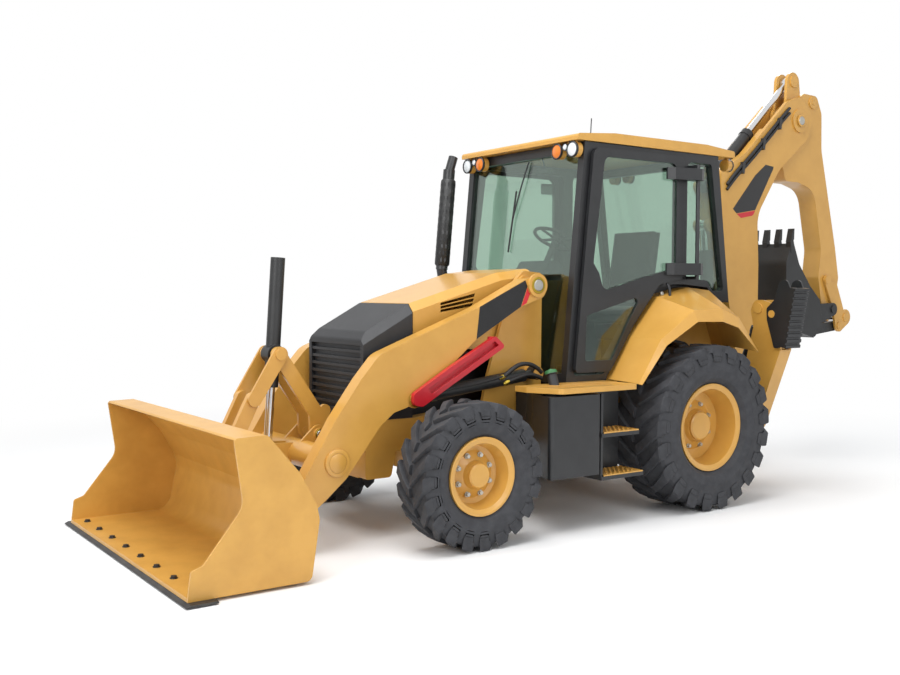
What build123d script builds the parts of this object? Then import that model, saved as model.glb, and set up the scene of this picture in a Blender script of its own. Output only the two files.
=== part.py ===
"""Backhoe loader on two axles, built as separate pieces in one frame.

Millimetres, X forward to the loader, Y left, Z up from the ground under the tyres.
Pieces are drawn from the rear axle's centre line and moved together at the end, so
that the origin is the middle of the machine's length. Side outlines are rows of
x, z and an optional corner radius. Cross outlines are rows of y, z.
"""
import os
from math import cos, radians, sin

from build123d import *

# ---- Running gear ----
wheelbase = 2174
rear_wheel = {"radius": 630, "width": 495, "centre_y": 857, "flange": 332, "seat": 305, "hub": 130}
front_wheel = {"radius": 478, "width": 310, "centre_y": 947.5, "flange": 254, "seat": 228, "hub": 95}
front_axle_z = front_wheel["radius"]
rear_axle_z = rear_wheel["radius"]
lug_height = 28
lugs_a_side = 18
spindle_radius = 60
kingpin_y = 700
kingpin_radius = 28
axle_beam = 120
rear_housing_radius = 105
axle_seat_z = rear_axle_z + rear_housing_radius + 10

# ---- Chassis ----
rail_outer_y = 400
rail_inner_y = 300
rail_top_z = 850
tower_plate = 30
tower_outer_y = rail_outer_y + tower_plate
hood_half_width = 380
hood_front_x = wheelbase + 81
hood_hinge = (hood_front_x - 30, 1559)
nose_half_width = 387
nose_front_x = wheelbase + 476
nose_gap = 7
nose_low_z = 790
tow_x = nose_front_x + 60
tow_bore_radius = 22
engine_low_z = front_axle_z + 222
skin = 6
corner_bevel = 56
tank_clearance = 101
tank_front_x = wheelbase - front_wheel["radius"] - tank_clearance

# ---- Fits ----
pin_fit = 0.05
fitting_gap = 0.3
side_play = 0.3
working_gap = 8

# ---- Loader ----
arm_inner_y = 455
arm_outer_y = 570
arm_pivot = (1321, 1698)
arm_pin_radius = 40
lift_base = (1287, 1063)
lift_tip = (2361, 936)
cross_tube = (2945, 566)
lever_pivot = (2840, 693)
lever_top = (3118, 1235)
tilt_foot = (3160, 590)
bucket_hinge = (3290, 255)
bucket_link_pin = (3440, 670)
bucket_half_width = 1131
bucket_wall = 14
edge_front_x = 4170
edge_half_width = 1190
ground_gap = 8

# ---- Cab ----
cab_half_width = 700
cab_wall = 60
floor_z = rear_axle_z + 355
sill_z = floor_z + 729
board_low_z = floor_z - 23
tank_top_z = board_low_z - 17
roof_low_z = 2740
roof_top_z = 2819
door_thickness = 30
door_gap = 6
glass_thickness = 8
door_hinge = (-110, 795)

# ---- Rear frame and stabilisers ----
tower_front_x = -803
tower_rear_x = -1007
tower_wall = 22
lashing_bore_radius = 30
leg_pivot = (627, 450)
leg_foot = (958, 1478)
leg_top_pin = (812, 1523)
stabilizer_base = (450, 620)
leg_front_x = -835
leg_rear_x = -975
leg_plate = 20

# ---- Backhoe ----
swing_axis_x = -1310
swing_lug_heights = 380, 640
boom_foot = (-1560, 830)
boom_ram_base = (-1215, 985)
boom_ram_tip = (-1090, 2250)
stick_ram_base = (-1110, 2600)
stick_pivot = (-2241, 3268)
stick_ram_tip = (-2222, 3643)
bucket_ram_base = (-2501, 3473)
guide_pivot = (-2751, 1775)
hoe_hinge = (-2800, 1488)
hoe_link_pin = (-2473, 1276)
guide_link_pin = (-2955, 1324)
guide_ram_pin = (-3055, 1407)
boom_half_width = 140
boom_plate = 34
stick_half_width = 95
hoe_half_width = 288
lever_inner_y = 100
lever_outer_y = 122
ear_inner_y = 136
ear_outer_y = 158
lever_boss = 78

rear_axle_x = -(edge_front_x + guide_ram_pin[0] - lever_boss) / 2

MIN_END = (Align.CENTER, Align.CENTER, Align.MIN)


# ---- Drawing helpers ----
def face_of(corners):
    """Flat face from rows of across, up and an optional corner radius."""
    points = [row[:2] for row in corners]
    radii = [row[2] if len(row) > 2 else 0 for row in corners]
    if any(radii):
        return make_face(FilletPolyline(*points, radius=radii, close=True))
    return make_face(Polyline(*points, close=True))


def slab(corners, y0, y1):
    """Plate with a side outline, between two Y values."""
    return extrude(Pos(0, y0, 0) * (Plane.XZ * face_of(corners)), y1 - y0, dir=(0, 1, 0))


def wall(corners, x0, x1):
    """Plate with a cross outline, between two X values."""
    return extrude(Pos(x0, 0, 0) * (Plane.YZ * face_of(corners)), x1 - x0, dir=(1, 0, 0))


def deck(corners, z0, z1):
    """Plate with a plan outline, between two Z values."""
    return extrude(Pos(0, 0, z0) * face_of(corners), z1 - z0, dir=(0, 0, 1))


def block(x0, x1, y0, y1, z0, z1):
    """Box between limits."""
    return Pos(x0, y0, z0) * Box(x1 - x0, y1 - y0, z1 - z0, align=(Align.MIN, Align.MIN, Align.MIN))


def pin_y(spot, radius, y0, y1):
    """Round bar along Y at an x, z spot."""
    return Pos(spot[0], y1, spot[1]) * Rot(90, 0, 0) * Cylinder(radius, y1 - y0, align=MIN_END)


def pin_x(spot, radius, x0, x1):
    """Round bar along X at a y, z spot."""
    return Pos(x0, spot[0], spot[1]) * Rot(0, 90, 0) * Cylinder(radius, x1 - x0, align=MIN_END)


def pin_z(spot, radius, z0, z1):
    """Round bar along Z at an x, y spot."""
    return Pos(spot[0], spot[1], z0) * Cylinder(radius, z1 - z0, align=MIN_END)


def bar(start, end, radius):
    """Round bar between two points."""
    axis = Vector(*end) - Vector(*start)
    return Plane(origin=start, z_dir=axis) * Cylinder(radius, axis.length, align=MIN_END)


def mirrored(shape):
    return mirror(shape, about=Plane.XZ)


def both(shape):
    return shape + mirrored(shape)


def link_plate(spots, radii, y0, y1):
    """Plate that joins round ends of given radii, in order, between two Y values."""
    plate = None
    for (a, ra), (b, rb) in zip(zip(spots, radii), zip(spots[1:], radii[1:])):
        along = Vector(b[0] - a[0], b[1] - a[1])
        side = Vector(-along.Y, along.X).normalized()
        body = slab(
            [
                (a[0] + side.X * ra, a[1] + side.Y * ra),
                (b[0] + side.X * rb, b[1] + side.Y * rb),
                (b[0] - side.X * rb, b[1] - side.Y * rb),
                (a[0] - side.X * ra, a[1] - side.Y * ra),
            ],
            y0,
            y1,
        )
        body = body + pin_y(a, ra, y0, y1) + pin_y(b, rb, y0, y1)
        plate = body if plate is None else plate + body
    return plate


def top_bevel(start, end, half, size):
    """Cutting wedges along both top edges of a body, between two x, z spots."""
    along = Vector(end[0] - start[0], 0, end[1] - start[1])
    corner = make_face(Polyline((-size, 1), (1, 1), (1, -size), close=True))
    wedge = extrude(Plane(origin=(start[0], half, start[1]), x_dir=(0, 1, 0), z_dir=along) * corner, along.length)
    return both(wedge)


# ---- Hydraulic cylinders ----
def ram(base, tip, centre, axis, tube, rod, length, inside, eye_width, base_pin, foot):
    """Barrel and rod between two pins.

    base and tip are spots in the plane across the pins, centre the place along them,
    axis "y" or "x" the pins' direction. length runs from the base pin to the gland,
    inside is the rod's stretch within the barrel, foot the tube's start past the pin.
    """
    def spot(place):
        if axis == "y":
            return (place[0], centre, place[1])
        return (centre, place[0], place[1])

    pin = pin_y if axis == "y" else pin_x
    start, end = Vector(*spot(base)), Vector(*spot(tip))
    line = (end - start).normalized()
    eye = tube * 1.05
    low, high = centre - eye_width / 2, centre + eye_width / 2
    gland = start + line * length
    barrel = bar(start + line * foot, gland, tube) + bar(start, start + line * foot, min(eye_width / 2, tube) * 0.85)
    barrel += bar(gland - line * tube * 1.1, gland, tube * 1.12)
    barrel += pin(base, eye, low, high)
    barrel -= bar(start + line * (foot + 14), gland + line, rod + pin_fit)
    barrel -= pin(base, base_pin + pin_fit, low - 60, high + 60)
    rod_eye = rod * 1.6
    shaft = bar(gland - line * inside, end, rod) + pin(tip, rod_eye, low, high)
    return barrel, shaft


# ---- Chassis ----
def main_frame():
    rear_x = tower_front_x + fitting_gap
    rail = slab(
        [
            (rear_x, 420), (rear_x, rail_top_z), (1700, rail_top_z), (hood_front_x - 15, nose_low_z),
            (nose_front_x - 10, nose_low_z), (nose_front_x - 10, 400, 20), (wheelbase + 266, 400, 30),
            (wheelbase + 231, front_axle_z + 97), (wheelbase - 229, front_axle_z + 97),
            (wheelbase - 274, front_axle_z + 67), (260, 545), (200, axle_seat_z), (-200, axle_seat_z), (-260, 420),
        ],
        rail_inner_y,
        rail_outer_y,
    )
    tower = slab(
        [
            (1160, 600), (1154, 1790, 30), (1330, 1805, 60), (1440, 1700, 40), (1527, 1434, 60),
            (1654, 1042, 60), (1700, 850), (1700, 600),
        ],
        rail_outer_y,
        tower_outer_y,
    )
    arm_pin = pin_y(arm_pivot, arm_pin_radius, rail_outer_y, arm_outer_y + side_play)
    collar = pin_y(arm_pivot, 85, arm_outer_y + side_play, arm_outer_y + 20)
    spacer = pin_y(arm_pivot, 75, tower_outer_y, arm_inner_y - side_play)
    lift_pin = pin_y(lift_base, 28, rail_outer_y, 558)
    lift_spacer = pin_y(lift_base, 46, tower_outer_y, 470)
    lift_collar = pin_y(lift_base, 42, 550, 562)
    side = rail + tower + arm_pin + collar + spacer + lift_pin + lift_spacer + lift_collar
    frame = both(side)
    # Cross members: front bumper, firewall between the towers, midship and rear ties.
    frame += block(nose_front_x - 50, nose_front_x - 10, -rail_inner_y, rail_inner_y, 400, 640)
    # Towing plate with an upright pin hole in front of the bumper.
    frame += block(nose_front_x - 50, tow_x, -60, 60, 430, 460) + pin_z((tow_x, 0), 60, 430, 460)
    frame -= pin_z((tow_x, 0), tow_bore_radius, 400, 500)
    frame += block(1160, 1180, -rail_outer_y, rail_outer_y, 860, 1160)
    firewall_y = hood_half_width - skin - working_gap
    frame += block(1160, 1180, -firewall_y, firewall_y, 1160, 1760)
    frame += block(1000, 1100, -rail_inner_y, rail_inner_y, 640, 800)
    frame += block(-420, -300, -rail_inner_y, rail_inner_y, 560, 800)
    # Hangers and centre pin that the front axle rocks on.
    top = front_axle_z + 202
    saddle = block(wheelbase - 120, wheelbase + 120, -rail_inner_y, rail_inner_y, top - 80, top)
    for x in (wheelbase - 115, wheelbase + 85):
        saddle += block(x, x + 30, -90, 90, front_axle_z - 68, top - 60)
    saddle += pin_x((0, front_axle_z), 30, wheelbase - 125, wheelbase + 125)
    return frame + saddle


def rear_frame():
    """Rear box that holds the stabilisers and the swing lugs."""
    box_outline = [
        (-700, 480, 30), (-690, 395, 30), (-520, 360), (520, 360), (690, 395, 30), (700, 480, 30),
        (560, 690, 60), (380, 760), (-380, 760), (-560, 690, 60),
    ]
    frame = wall(box_outline, tower_front_x - tower_wall, tower_front_x)
    frame += wall(box_outline, tower_rear_x, tower_rear_x + tower_wall)
    inner = tower_rear_x + tower_wall, tower_front_x - tower_wall
    frame += block(*inner, -330, 330, 738, 760) + block(*inner, -330, 330, 360, 382)
    frame += both(block(*inner, 308, 330, 382, 738))
    frame -= both(pin_z((tower_rear_x + 102, 210), lashing_bore_radius, 350, 390))
    frame += both(pin_x(leg_pivot, 30, tower_rear_x - 10, tower_front_x + 10))
    frame += both(pin_x(stabilizer_base, 24, tower_rear_x - 8, tower_front_x + 8))
    for low in swing_lug_heights:
        lug = block(swing_axis_x, tower_rear_x, -100, 100, low, low + 40)
        frame += lug + pin_z((swing_axis_x, 0), 100, low, low + 40)
    frame += pin_z((swing_axis_x, 0), 45, swing_lug_heights[0] - 15, swing_lug_heights[1] + 55)
    return frame


def axles():
    arm_y = kingpin_y - 55
    beam = block(wheelbase - 70, wheelbase + 70, -arm_y, arm_y, front_axle_z - axle_beam / 2, front_axle_z + axle_beam / 2)
    beam += pin_x((0, front_axle_z), 75, wheelbase - 75, wheelbase + 75)
    beam -= pin_x((0, front_axle_z), 30 + pin_fit, wheelbase - 90, wheelbase + 90)
    low, high = front_axle_z - 128, front_axle_z + 122
    fork = block(wheelbase - 60, wheelbase + 60, arm_y, kingpin_y + 50, low, low + 30)
    fork += block(wheelbase - 60, wheelbase + 60, arm_y, kingpin_y + 50, high - 30, high)
    fork += block(wheelbase - 60, wheelbase + 60, arm_y - 30, arm_y, low, high)
    fork += pin_z((wheelbase, kingpin_y), kingpin_radius, low - 10, high + 10)
    beam += both(fork)
    centre = (0, rear_axle_z)
    housing = pin_y(centre, rear_housing_radius, -560, 560)
    housing += pin_y(centre, 190, -130, 130) + both(pin_y(centre, 170, 480, 560))
    housing += both(pin_y(centre, spindle_radius + 10, 560, 900))
    housing += both(block(-150, 150, rail_inner_y + 10, rail_outer_y - 10, rear_axle_z, axle_seat_z))
    return beam, housing


def knuckle():
    """Left steering knuckle with the front wheel's spindle."""
    hub = pin_z((wheelbase, kingpin_y), 50, front_axle_z - 93, front_axle_z + 87)
    hub += pin_y((wheelbase, front_axle_z), spindle_radius, kingpin_y + 20, front_wheel["centre_y"] + 30)
    hub += pin_y((wheelbase, front_axle_z), 85, kingpin_y + 20, kingpin_y + 80)
    arm_z = front_axle_z - 83
    hub += block(wheelbase - 230, wheelbase - 40, kingpin_y + 10, kingpin_y + 45, arm_z, arm_z + 30)
    hub -= pin_z((wheelbase, kingpin_y), kingpin_radius + pin_fit, arm_z - 60, arm_z + 240)
    return hub


def tyre(size):
    """Tyre about the origin: a facet for each lug, slanted lugs fused on, and a round seat for the rim."""
    radius, half = size["radius"], size["width"] / 2
    flange, seat = size["flange"], size["seat"]
    rim_half, shoulder = half * 0.72, half * 0.96
    facets = 2 * lugs_a_side
    # Columns: across, distance of the facets' corners from the axle.
    rings = [
        (-half, radius - 110), (-shoulder, radius - lug_height), (shoulder, radius - lug_height), (half, radius - 110),
    ]
    body = loft([Pos(0, y, 0) * (Plane.XZ * RegularPolygon(r, facets)) for y, r in rings], ruled=True)
    bore = [
        (-half - 1, 0), (-half - 1, flange + 62), (-rim_half, flange + 2), (-rim_half, seat), (rim_half, seat),
        (rim_half, flange + 2), (half + 1, flange + 62), (half + 1, 0),
    ]
    body -= revolve(Plane.YZ * make_face(Polyline(*bore, close=True)), Axis.Y)
    # A lug runs from the shoulder towards the middle and leads there; its corners reach the full radius.
    thick, slant = radius * 0.1, radius * 0.17
    reach = (thick + slant) / 2
    top = (radius**2 - reach**2) ** 0.5
    lugs = []
    for index in range(facets):
        outer, inner = half * 0.99, half * 0.06
        if index % 2:
            outer, inner = -outer, -inner
        plan = [
            (-reach, outer), (thick - reach, outer), (reach, inner), (reach - thick, inner),
        ]
        lugs.append(Rot(0, 360 / facets * index, 0) * deck(plan, radius - 95, top))
    return body + lugs


def wheel(size, x, spindle):
    """Left wheel as a rim and a tyre."""
    radius, half = size["radius"], size["width"] / 2
    flange, seat, hub = size["flange"], size["seat"], size["hub"]
    rim_half = half * 0.72
    rim = make_face(
        Polyline(
            (-rim_half - 22, flange), (-rim_half - 1, flange), (-rim_half - 1, seat), (rim_half + 1, seat),
            (rim_half + 1, flange), (rim_half + 22, flange), (rim_half + 22, flange - 14),
            (rim_half + 10, seat - 16), (20, seat - 40), (10, hub + 60), (45, hub), (75, hub - 15),
            (75, spindle + pin_fit), (-60, spindle + pin_fit), (-60, hub), (-20, hub + 40), (-5, seat - 60),
            (-rim_half - 10, seat - 16), (-rim_half - 22, flange - 14),
            close=True,
        )
    )
    # The profile is drawn as across, out: across becomes Y and out becomes Z.
    place = Pos(x, size["centre_y"], radius)
    return place * revolve(Plane.YZ * rim, Axis.Y), place * tyre(size)


def fender():
    """Left rear fender: a lofted shell around the wheel's arch."""
    thickness = 10
    # Columns: angle about the wheel, crest, fold, fold's y, opening.
    stations = [
        (27, 828, 790, 985, 772),
        (52, 868, 862, 1036, 802),
        (76, 1020, 915, 1070, 828),
        (95, 1064, 902, 1080, 803),
        (108, 1090, 870, 1080, 790),
        (131, 800, 757, 1080, 735),
    ]
    inner_y, crest_y, low = 590, 720, 655
    sections = []
    for angle, crest, fold, fold_y, opening in stations:
        a = radians(angle)
        plane = Plane(
            origin=(0, 0, rear_axle_z), x_dir=(0, 1, 0), z_dir=(sin(a), 0, -cos(a))
        )
        outline = [
            (inner_y, low), (inner_y, crest), (crest_y, crest), (fold_y, fold), (fold_y + 20, opening),
            (fold_y + 20 - thickness, opening), (fold_y - thickness, fold - thickness),
            (crest_y - 4, crest - thickness), (inner_y + thickness, crest - thickness),
            (inner_y + thickness, low),
        ]
        sections.append(plane * make_face(Polyline(*outline, close=True)))
    return loft(sections, ruled=True)


def running_board():
    front_x = tank_front_x + 25
    outline = [(793, 702), (793, 1060, 15), (front_x - 120, 1060, 40), (front_x, 830, 40), (front_x, 702)]
    board = deck(outline, board_low_z, floor_z + 15)
    board += block(793, 1130, 590, 702, board_low_z, floor_z - 5)
    # Slanted grips sunk in the tread.
    for row in range(8):
        board -= Pos(880 + row * 82, 880, floor_z + 15) * Rot(0, 0, 35) * Box(24, 230, 14)
    return board


def side_tank():
    """Left tank with its two steps."""
    outline = [
        (1132, 440), (1132, 1050, 20), (tank_front_x, 1050, 30), (tank_front_x - 95, 750, 40),
        (tank_front_x - 195, 560), (tank_front_x - 195, 440),
    ]
    tank = deck(outline, 385, tank_top_z)
    tank += block(1150, tank_front_x - 215, tower_outer_y, 440, 620, 800)
    for x in (1180, tank_front_x - 155):
        tank += block(x, x + 60, 860, 940, tank_top_z, board_low_z)
    back = block(740, 1132, 800, 815, 340, tank_top_z)
    steps = block(769, 1132, 815, 1060, 640, 668) + block(723, 1132, 815, 1060, 340, 368)
    cheek = block(1112, 1132, 815, 1050, 368, tank_top_z)
    return tank + back + steps + cheek


def engine_block():
    block_body = block(1260, hood_front_x - 55, -200, 200, engine_low_z, 1230)
    block_body += both(block(1400, 1500, 200, rail_inner_y, engine_low_z, rail_top_z - 70))
    return block_body


def grille():
    """Black nose over the radiator, with its slats."""
    back_x = hood_front_x + nose_gap
    side = [
        (back_x, nose_low_z), (back_x, 1567), (nose_front_x - 50, 1385, 60), (nose_front_x, 1330, 30),
        (nose_front_x, nose_low_z),
    ]
    nose = slab(side, -nose_half_width, nose_half_width)
    nose -= top_bevel((back_x - 1, 1567.5), (nose_front_x + 60, 1325.7), nose_half_width, corner_bevel)
    nose -= block(nose_front_x - 30, nose_front_x + 10, -350, 350, 850, 1290)
    for row in range(8):
        z = 875 + row * 52
        nose += block(nose_front_x - 30, nose_front_x - 6, -350, 350, z, z + 20)
    nose -= block(back_x + 28, nose_front_x - 130, -300, 300, nose_low_z - 10, 1250)
    # Brackets and pins that the hood tips forward on.
    hinge_x, hinge_z = hood_hinge
    bracket = [
        (back_x, hinge_z - 139), (back_x, hinge_z - 99), (hinge_x + 11, hinge_z - 84), (hinge_x + 11, hinge_z),
        (hinge_x - 11, hinge_z), (hinge_x - 11, hinge_z - 139),
    ]
    for y in (200, 236):
        nose += both(slab(bracket, y, y + 10) + pin_y(hood_hinge, 11, y, y + 10))
    return nose + both(pin_y(hood_hinge, 7, 200, 246))


def hood():
    half = hood_half_width
    outline = [(1200, 1180), (1200, 1825, 30), (1500, 1790), (hood_front_x, 1570), (hood_front_x, 1300)]
    inner = [
        (1200 - 20, 1100), (1200 - 20, 1825 - skin), (1500, 1790 - skin), (hood_front_x + 20, 1570 - skin - 5),
        (hood_front_x + 20, 1100),
    ]
    shell = slab(outline, -half, half)
    cavity = slab(inner, -half + skin, half - skin)
    for start, end in (((1150, 1830.8), (1500, 1790)), ((1500, 1790), (hood_front_x + 60, 1552.5))):
        shell -= top_bevel(start, end, half, corner_bevel)
        start, end = (start[0], start[1] - skin), (end[0], end[1] - skin)
        cavity -= top_bevel(start, end, half - skin, corner_bevel - 0.6 * skin)
    shell -= cavity
    # Three slanted vents high on each side.
    for low in (0, 34, 68):
        vent = [(1753 - 0.28 * low, 1548 + low), (2028, 1508 + 0.7 * low), (2024, 1526 + 0.7 * low),
                (1747 - 0.28 * low, 1572 + low)]
        shell -= slab(vent, -half - 1, half + 1)
    x0, x1, low = hood_hinge[0] - 12, hood_hinge[0] + 12, hood_hinge[1] - 11
    lug = slab([(x0, low, 5), (x0, low + 32), (x1, low + 25), (x1, low, 5)], 211, 235)
    return shell + both(lug - pin_y(hood_hinge, 7 + pin_fit, 200, 250))


# ---- Cab ----
CAB_LOW = [
    (1150, floor_z), (760, floor_z), (745, floor_z + 45), (490, sill_z - 332), (225, sill_z - 32),
    (60, sill_z - 2), (-60, sill_z), (-345, sill_z - 24), (-400, sill_z - 114), (-600, sill_z - 144),
]

SIDE_WINDOW = [
    (-95, 2670, 50), (-372, 2670, 30), (-535, sill_z - 54, 30), (-395, sill_z - 49), (-335, sill_z + 31, 20),
    (-95, sill_z + 51, 20),
]


def pane(corners, y0):
    """Glass that fills an opening with a side outline."""
    face = offset(face_of(corners), amount=-fitting_gap)
    return extrude(Pos(0, y0, 0) * (Plane.XZ * face), glass_thickness, dir=(0, 1, 0))


def cab_frame():
    outer = CAB_LOW + [(-450, roof_low_z), (985, roof_low_z)]
    ring = slab(outer, cab_half_width - cab_wall, cab_half_width)
    door_hole = [
        (1075, floor_z + 60, 20), (918, 2670, 60), (10, 2670, 60), (10, sill_z + 48, 30), (80, sill_z + 41),
        (260, sill_z + 4, 40), (525, sill_z - 304), (785, floor_z + 60, 30),
    ]
    ring -= slab(door_hole, 600, 760) + slab(SIDE_WINDOW, 600, 760)
    ledge_top = [(x, z + 20) for x, z in CAB_LOW]
    ledge = slab(CAB_LOW[1:] + ledge_top[1:][::-1], 571, cab_half_width - cab_wall)
    inner_wall = slab(
        [(760, floor_z)] + CAB_LOW[2:] + [(-570, floor_z)], 571, 590
    )
    frame = both(ring + ledge + inner_wall)
    frame += block(-570, 1140, -571, 571, floor_z, floor_z + 25)
    frame += both(block(760, 1140, 571, cab_half_width - cab_wall, floor_z, floor_z + 25))
    # Cross bars at the front follow the raked pillars.
    rake = (985 - 1150) / (roof_low_z - floor_z)
    for low, high in ((floor_z, floor_z + 75), (2670, roof_low_z)):
        x0, x1 = 1150 + rake * (low - floor_z), 1150 + rake * (high - floor_z)
        frame += slab([(x0, low), (x1, high), (x1 - 60, high), (x0 - 60, low)], -640, 640)
    rear_z = sill_z - 144
    rear_rake = (-450 + 600) / (roof_low_z - rear_z)
    for low, high in ((rear_z, rear_z + 70), (2670, roof_low_z)):
        x0, x1 = -600 + rear_rake * (low - rear_z), -600 + rear_rake * (high - rear_z)
        frame += slab([(x0, low), (x1, high), (x1 + 60, high), (x0 + 60, low)], -640, 640)
    frame += slab([(-570, floor_z), (-600, rear_z), (-580, rear_z), (-550, floor_z)], -571, 571)
    for x in (-400, 1050):
        frame += both(pin_z((x, 350), 55, rail_top_z, floor_z))
    return frame


def cab_roof():
    side = [(-633, roof_low_z), (-633, 2790, 20), (-300, roof_top_z), (700, roof_top_z), (1066, 2790, 25), (1066, 2745)]
    roof = slab(side, -cab_half_width - 15, cab_half_width + 15)
    # Work lamps under the front and rear corners, each on a stem, and an indicator between the front pair.
    for y in (475, 645):
        roof += both(pin_x((y, 2682), 56, 1004, 1058) + block(1020, 1040, y - 14, y + 14, 2730, roof_low_z + 10))
        roof += both(pin_x((y, 2682), 48, -640, -585) + block(-625, -605, y - 14, y + 14, 2720, roof_low_z + 10))
    roof += both(pin_x((560, 2706), 26, 1000, 1050) + block(1010, 1026, 552, 568, 2725, roof_low_z + 10))
    return roof


def cab_glass():
    """Windscreen, rear window and rear side windows."""
    rake = (985 - 1150) / (roof_low_z - floor_z)
    glass = both(pane(SIDE_WINDOW, 660))
    pane_y = cab_half_width - cab_wall - fitting_gap
    low, high = floor_z + 75 + fitting_gap, 2670 - fitting_gap
    x0, x1 = 1150 + rake * (low - floor_z) - 26, 1150 + rake * (high - floor_z) - 26
    g = glass_thickness
    glass += slab([(x0, low), (x1, high), (x1 - g, high), (x0 - g, low)], -pane_y, pane_y)
    rear_z = sill_z - 144
    rear_rake = (-450 + 600) / (roof_low_z - rear_z)
    low, high = rear_z + 70 + fitting_gap, 2670 - fitting_gap
    x0, x1 = -600 + rear_rake * (low - rear_z) + 26, -600 + rear_rake * (high - rear_z) + 26
    glass += slab([(x0, low), (x1, high), (x1 + g, high), (x0 + g, low)], -pane_y, pane_y)
    return glass


DOOR = [
    (1092, floor_z + 81, 30), (925, 2700, 70), (-20, 2700, 60), (-20, sill_z + 38, 40), (75, sill_z + 28),
    (245, sill_z - 8, 60), (510, sill_z - 309, 200), (745, floor_z + 81, 40),
]
DOOR_WINDOWS = [
    [(925, sill_z + 148, 20), (818, 2640, 60), (60, 2640, 60), (60, sill_z + 126, 50), (430, sill_z + 46, 60),
     (820, sill_z - 54, 60), (868, sill_z + 76, 20)],
    [(1000, floor_z + 165, 20), (985, sill_z - 234, 20), (430, sill_z - 89, 30), (560, sill_z - 274, 60),
     (735, floor_z + 165, 20)],
]


def door():
    """Left door panel with its two windows and hinge arms."""
    y0 = cab_half_width + door_gap
    y1 = y0 + door_thickness
    panel = slab(DOOR, y0, y1)
    for opening in DOOR_WINDOWS:
        panel -= slab(opening, y0 - 5, y1 + 5)
    for z in (sill_z + 116, 2560):
        arm = deck([(-150, 736), (180, 736), (180, 752), (130, 785), (-110, 835), (-150, 820)], z - 45, z + 45)
        panel += arm
    panel -= pin_z(door_hinge, 16 + pin_fit, 1700, 2700)
    return panel


def door_glass():
    y0 = cab_half_width + door_gap + 10
    return pane(DOOR_WINDOWS[0], y0) + pane(DOOR_WINDOWS[1], y0)


def door_post():
    """Left hinge post outside the cab's middle pillar."""
    post = pin_z(door_hinge, 16, sill_z + 38, 2638)
    for z in (sill_z + 50, 2626):
        post += block(-126, -94, cab_half_width, door_hinge[1], z - 12, z + 12)
    return post


def operator_seat():
    seat = slab(
        [(150, 1370, 60), (-420, 1370, 40), (-420, 1500, 40), (-330, 1520, 40), (-400, 2140, 90), (-150, 2160, 90),
         (-130, 1560, 60), (150, 1540, 60)],
        -260,
        260,
    )
    seat += block(-330, 60, -180, 180, 1250, 1370) + block(-280, 10, -140, 140, floor_z + 25, 1250)
    return seat


def dash_console():
    dash = slab(
        [(1000, floor_z + 25), (960, 1750), (860, 1900, 40), (760, 1880, 40), (740, 1700), (820, 1500),
         (800, floor_z + 25)],
        -190,
        190,
    )
    column = bar((790, 0, 1800), (655, 0, 2060), 26)
    wheel_plane = Plane(origin=(650, 0, 2070), z_dir=Vector(655 - 790, 0, 2060 - 1800))
    rim = wheel_plane * Torus(180, 14)
    spokes = wheel_plane * (Box(350, 24, 12) + Box(24, 350, 12) + Cylinder(40, 40))
    return dash + column + rim + spokes


def exhaust_stack():
    y = -640
    radius = 42
    stack = bar((1200, -(tower_outer_y), 1180), (1200, y, 1180), radius)
    stack += Pos(1200, y, 1180) * Sphere(radius)
    stack += bar((1200, y, 1180), (1318, y, 1830), radius)
    stack += Pos(1318, y, 1830) * Sphere(radius)
    stack += bar((1318, y, 1830), (1245, y, 2640), radius + 6)
    stack += bar((1247, y, 2620), (1205, y, 2745), radius - 4)
    return stack


# ---- Loader ----
def loader_arms():
    outline = [
        (1235, 1760, 60), (1416, 1745, 80), (1839, 1541, 200), (2635, 1240, 160), (2769, 1088), (2950, 845),
        (3184, 468, 100), (3337, 286, 60), (3330, 190, 60), (3250, 170, 60), (3023, 339), (2879, 459, 100),
        (2627, 775, 60), (2521, 859, 40), (2424, 885, 40), (2330, 930, 40), (1852, 1326, 200), (1460, 1545, 80),
        (1235, 1620, 60),
    ]
    arm = slab(outline, arm_inner_y, arm_outer_y)
    arm -= pin_y(arm_pivot, arm_pin_radius + pin_fit, 400, 640)
    # The lift cylinder's eye works in a slot between two cheeks.
    for reach in (lift_base, (693, 1599), (2289, 873)):
        arm -= link_plate([reach, lift_tip], [66, 66], 470, 550)
    arm += pin_y(lift_tip, 58, arm_inner_y, 470) + pin_y(lift_tip, 58, 550, arm_outer_y)
    arm += pin_y(lift_tip, 30, arm_outer_y, arm_outer_y + 14)
    arm -= pin_y(bucket_hinge, 28 + pin_fit, 400, 640)
    arms = both(arm)
    arms += pin_y(cross_tube, 90, -arm_inner_y, arm_inner_y)
    arms += both(pin_y(cross_tube, 90, arm_outer_y, arm_outer_y + 8))
    # Brackets for the tilt levers and for the tilt cylinder's rod.
    bracket = link_plate([cross_tube, lever_pivot], [85, 62], 106, 126)
    bracket += pin_y(lever_pivot, 26, 64, 134) + pin_y(lever_pivot, 40, 126, 138)
    arms += both(bracket)
    rod_bracket = link_plate([cross_tube, tilt_foot], [70, 55], 38, 60) + pin_y(tilt_foot, 34, 60, 68)
    arms += both(rod_bracket)
    return arms


def lift_brace():
    """Red strut stowed outside the left arm."""
    brace = slab(
        [(2400, 900, 40), (2330, 890, 40), (2100, 1020, 60), (1641, 1270, 20), (1727, 1345, 20), (2116, 1140, 60),
         (2405, 975, 40)],
        arm_outer_y + 14,
        arm_outer_y + 54,
    )
    brace -= slab([(2260, 970), (1700, 1280), (1735, 1310), (2290, 1010)], arm_outer_y + 22, arm_outer_y + 60)
    brace += block(1720, 1760, arm_outer_y, arm_outer_y + 14, 1320, 1340)
    return brace


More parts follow.
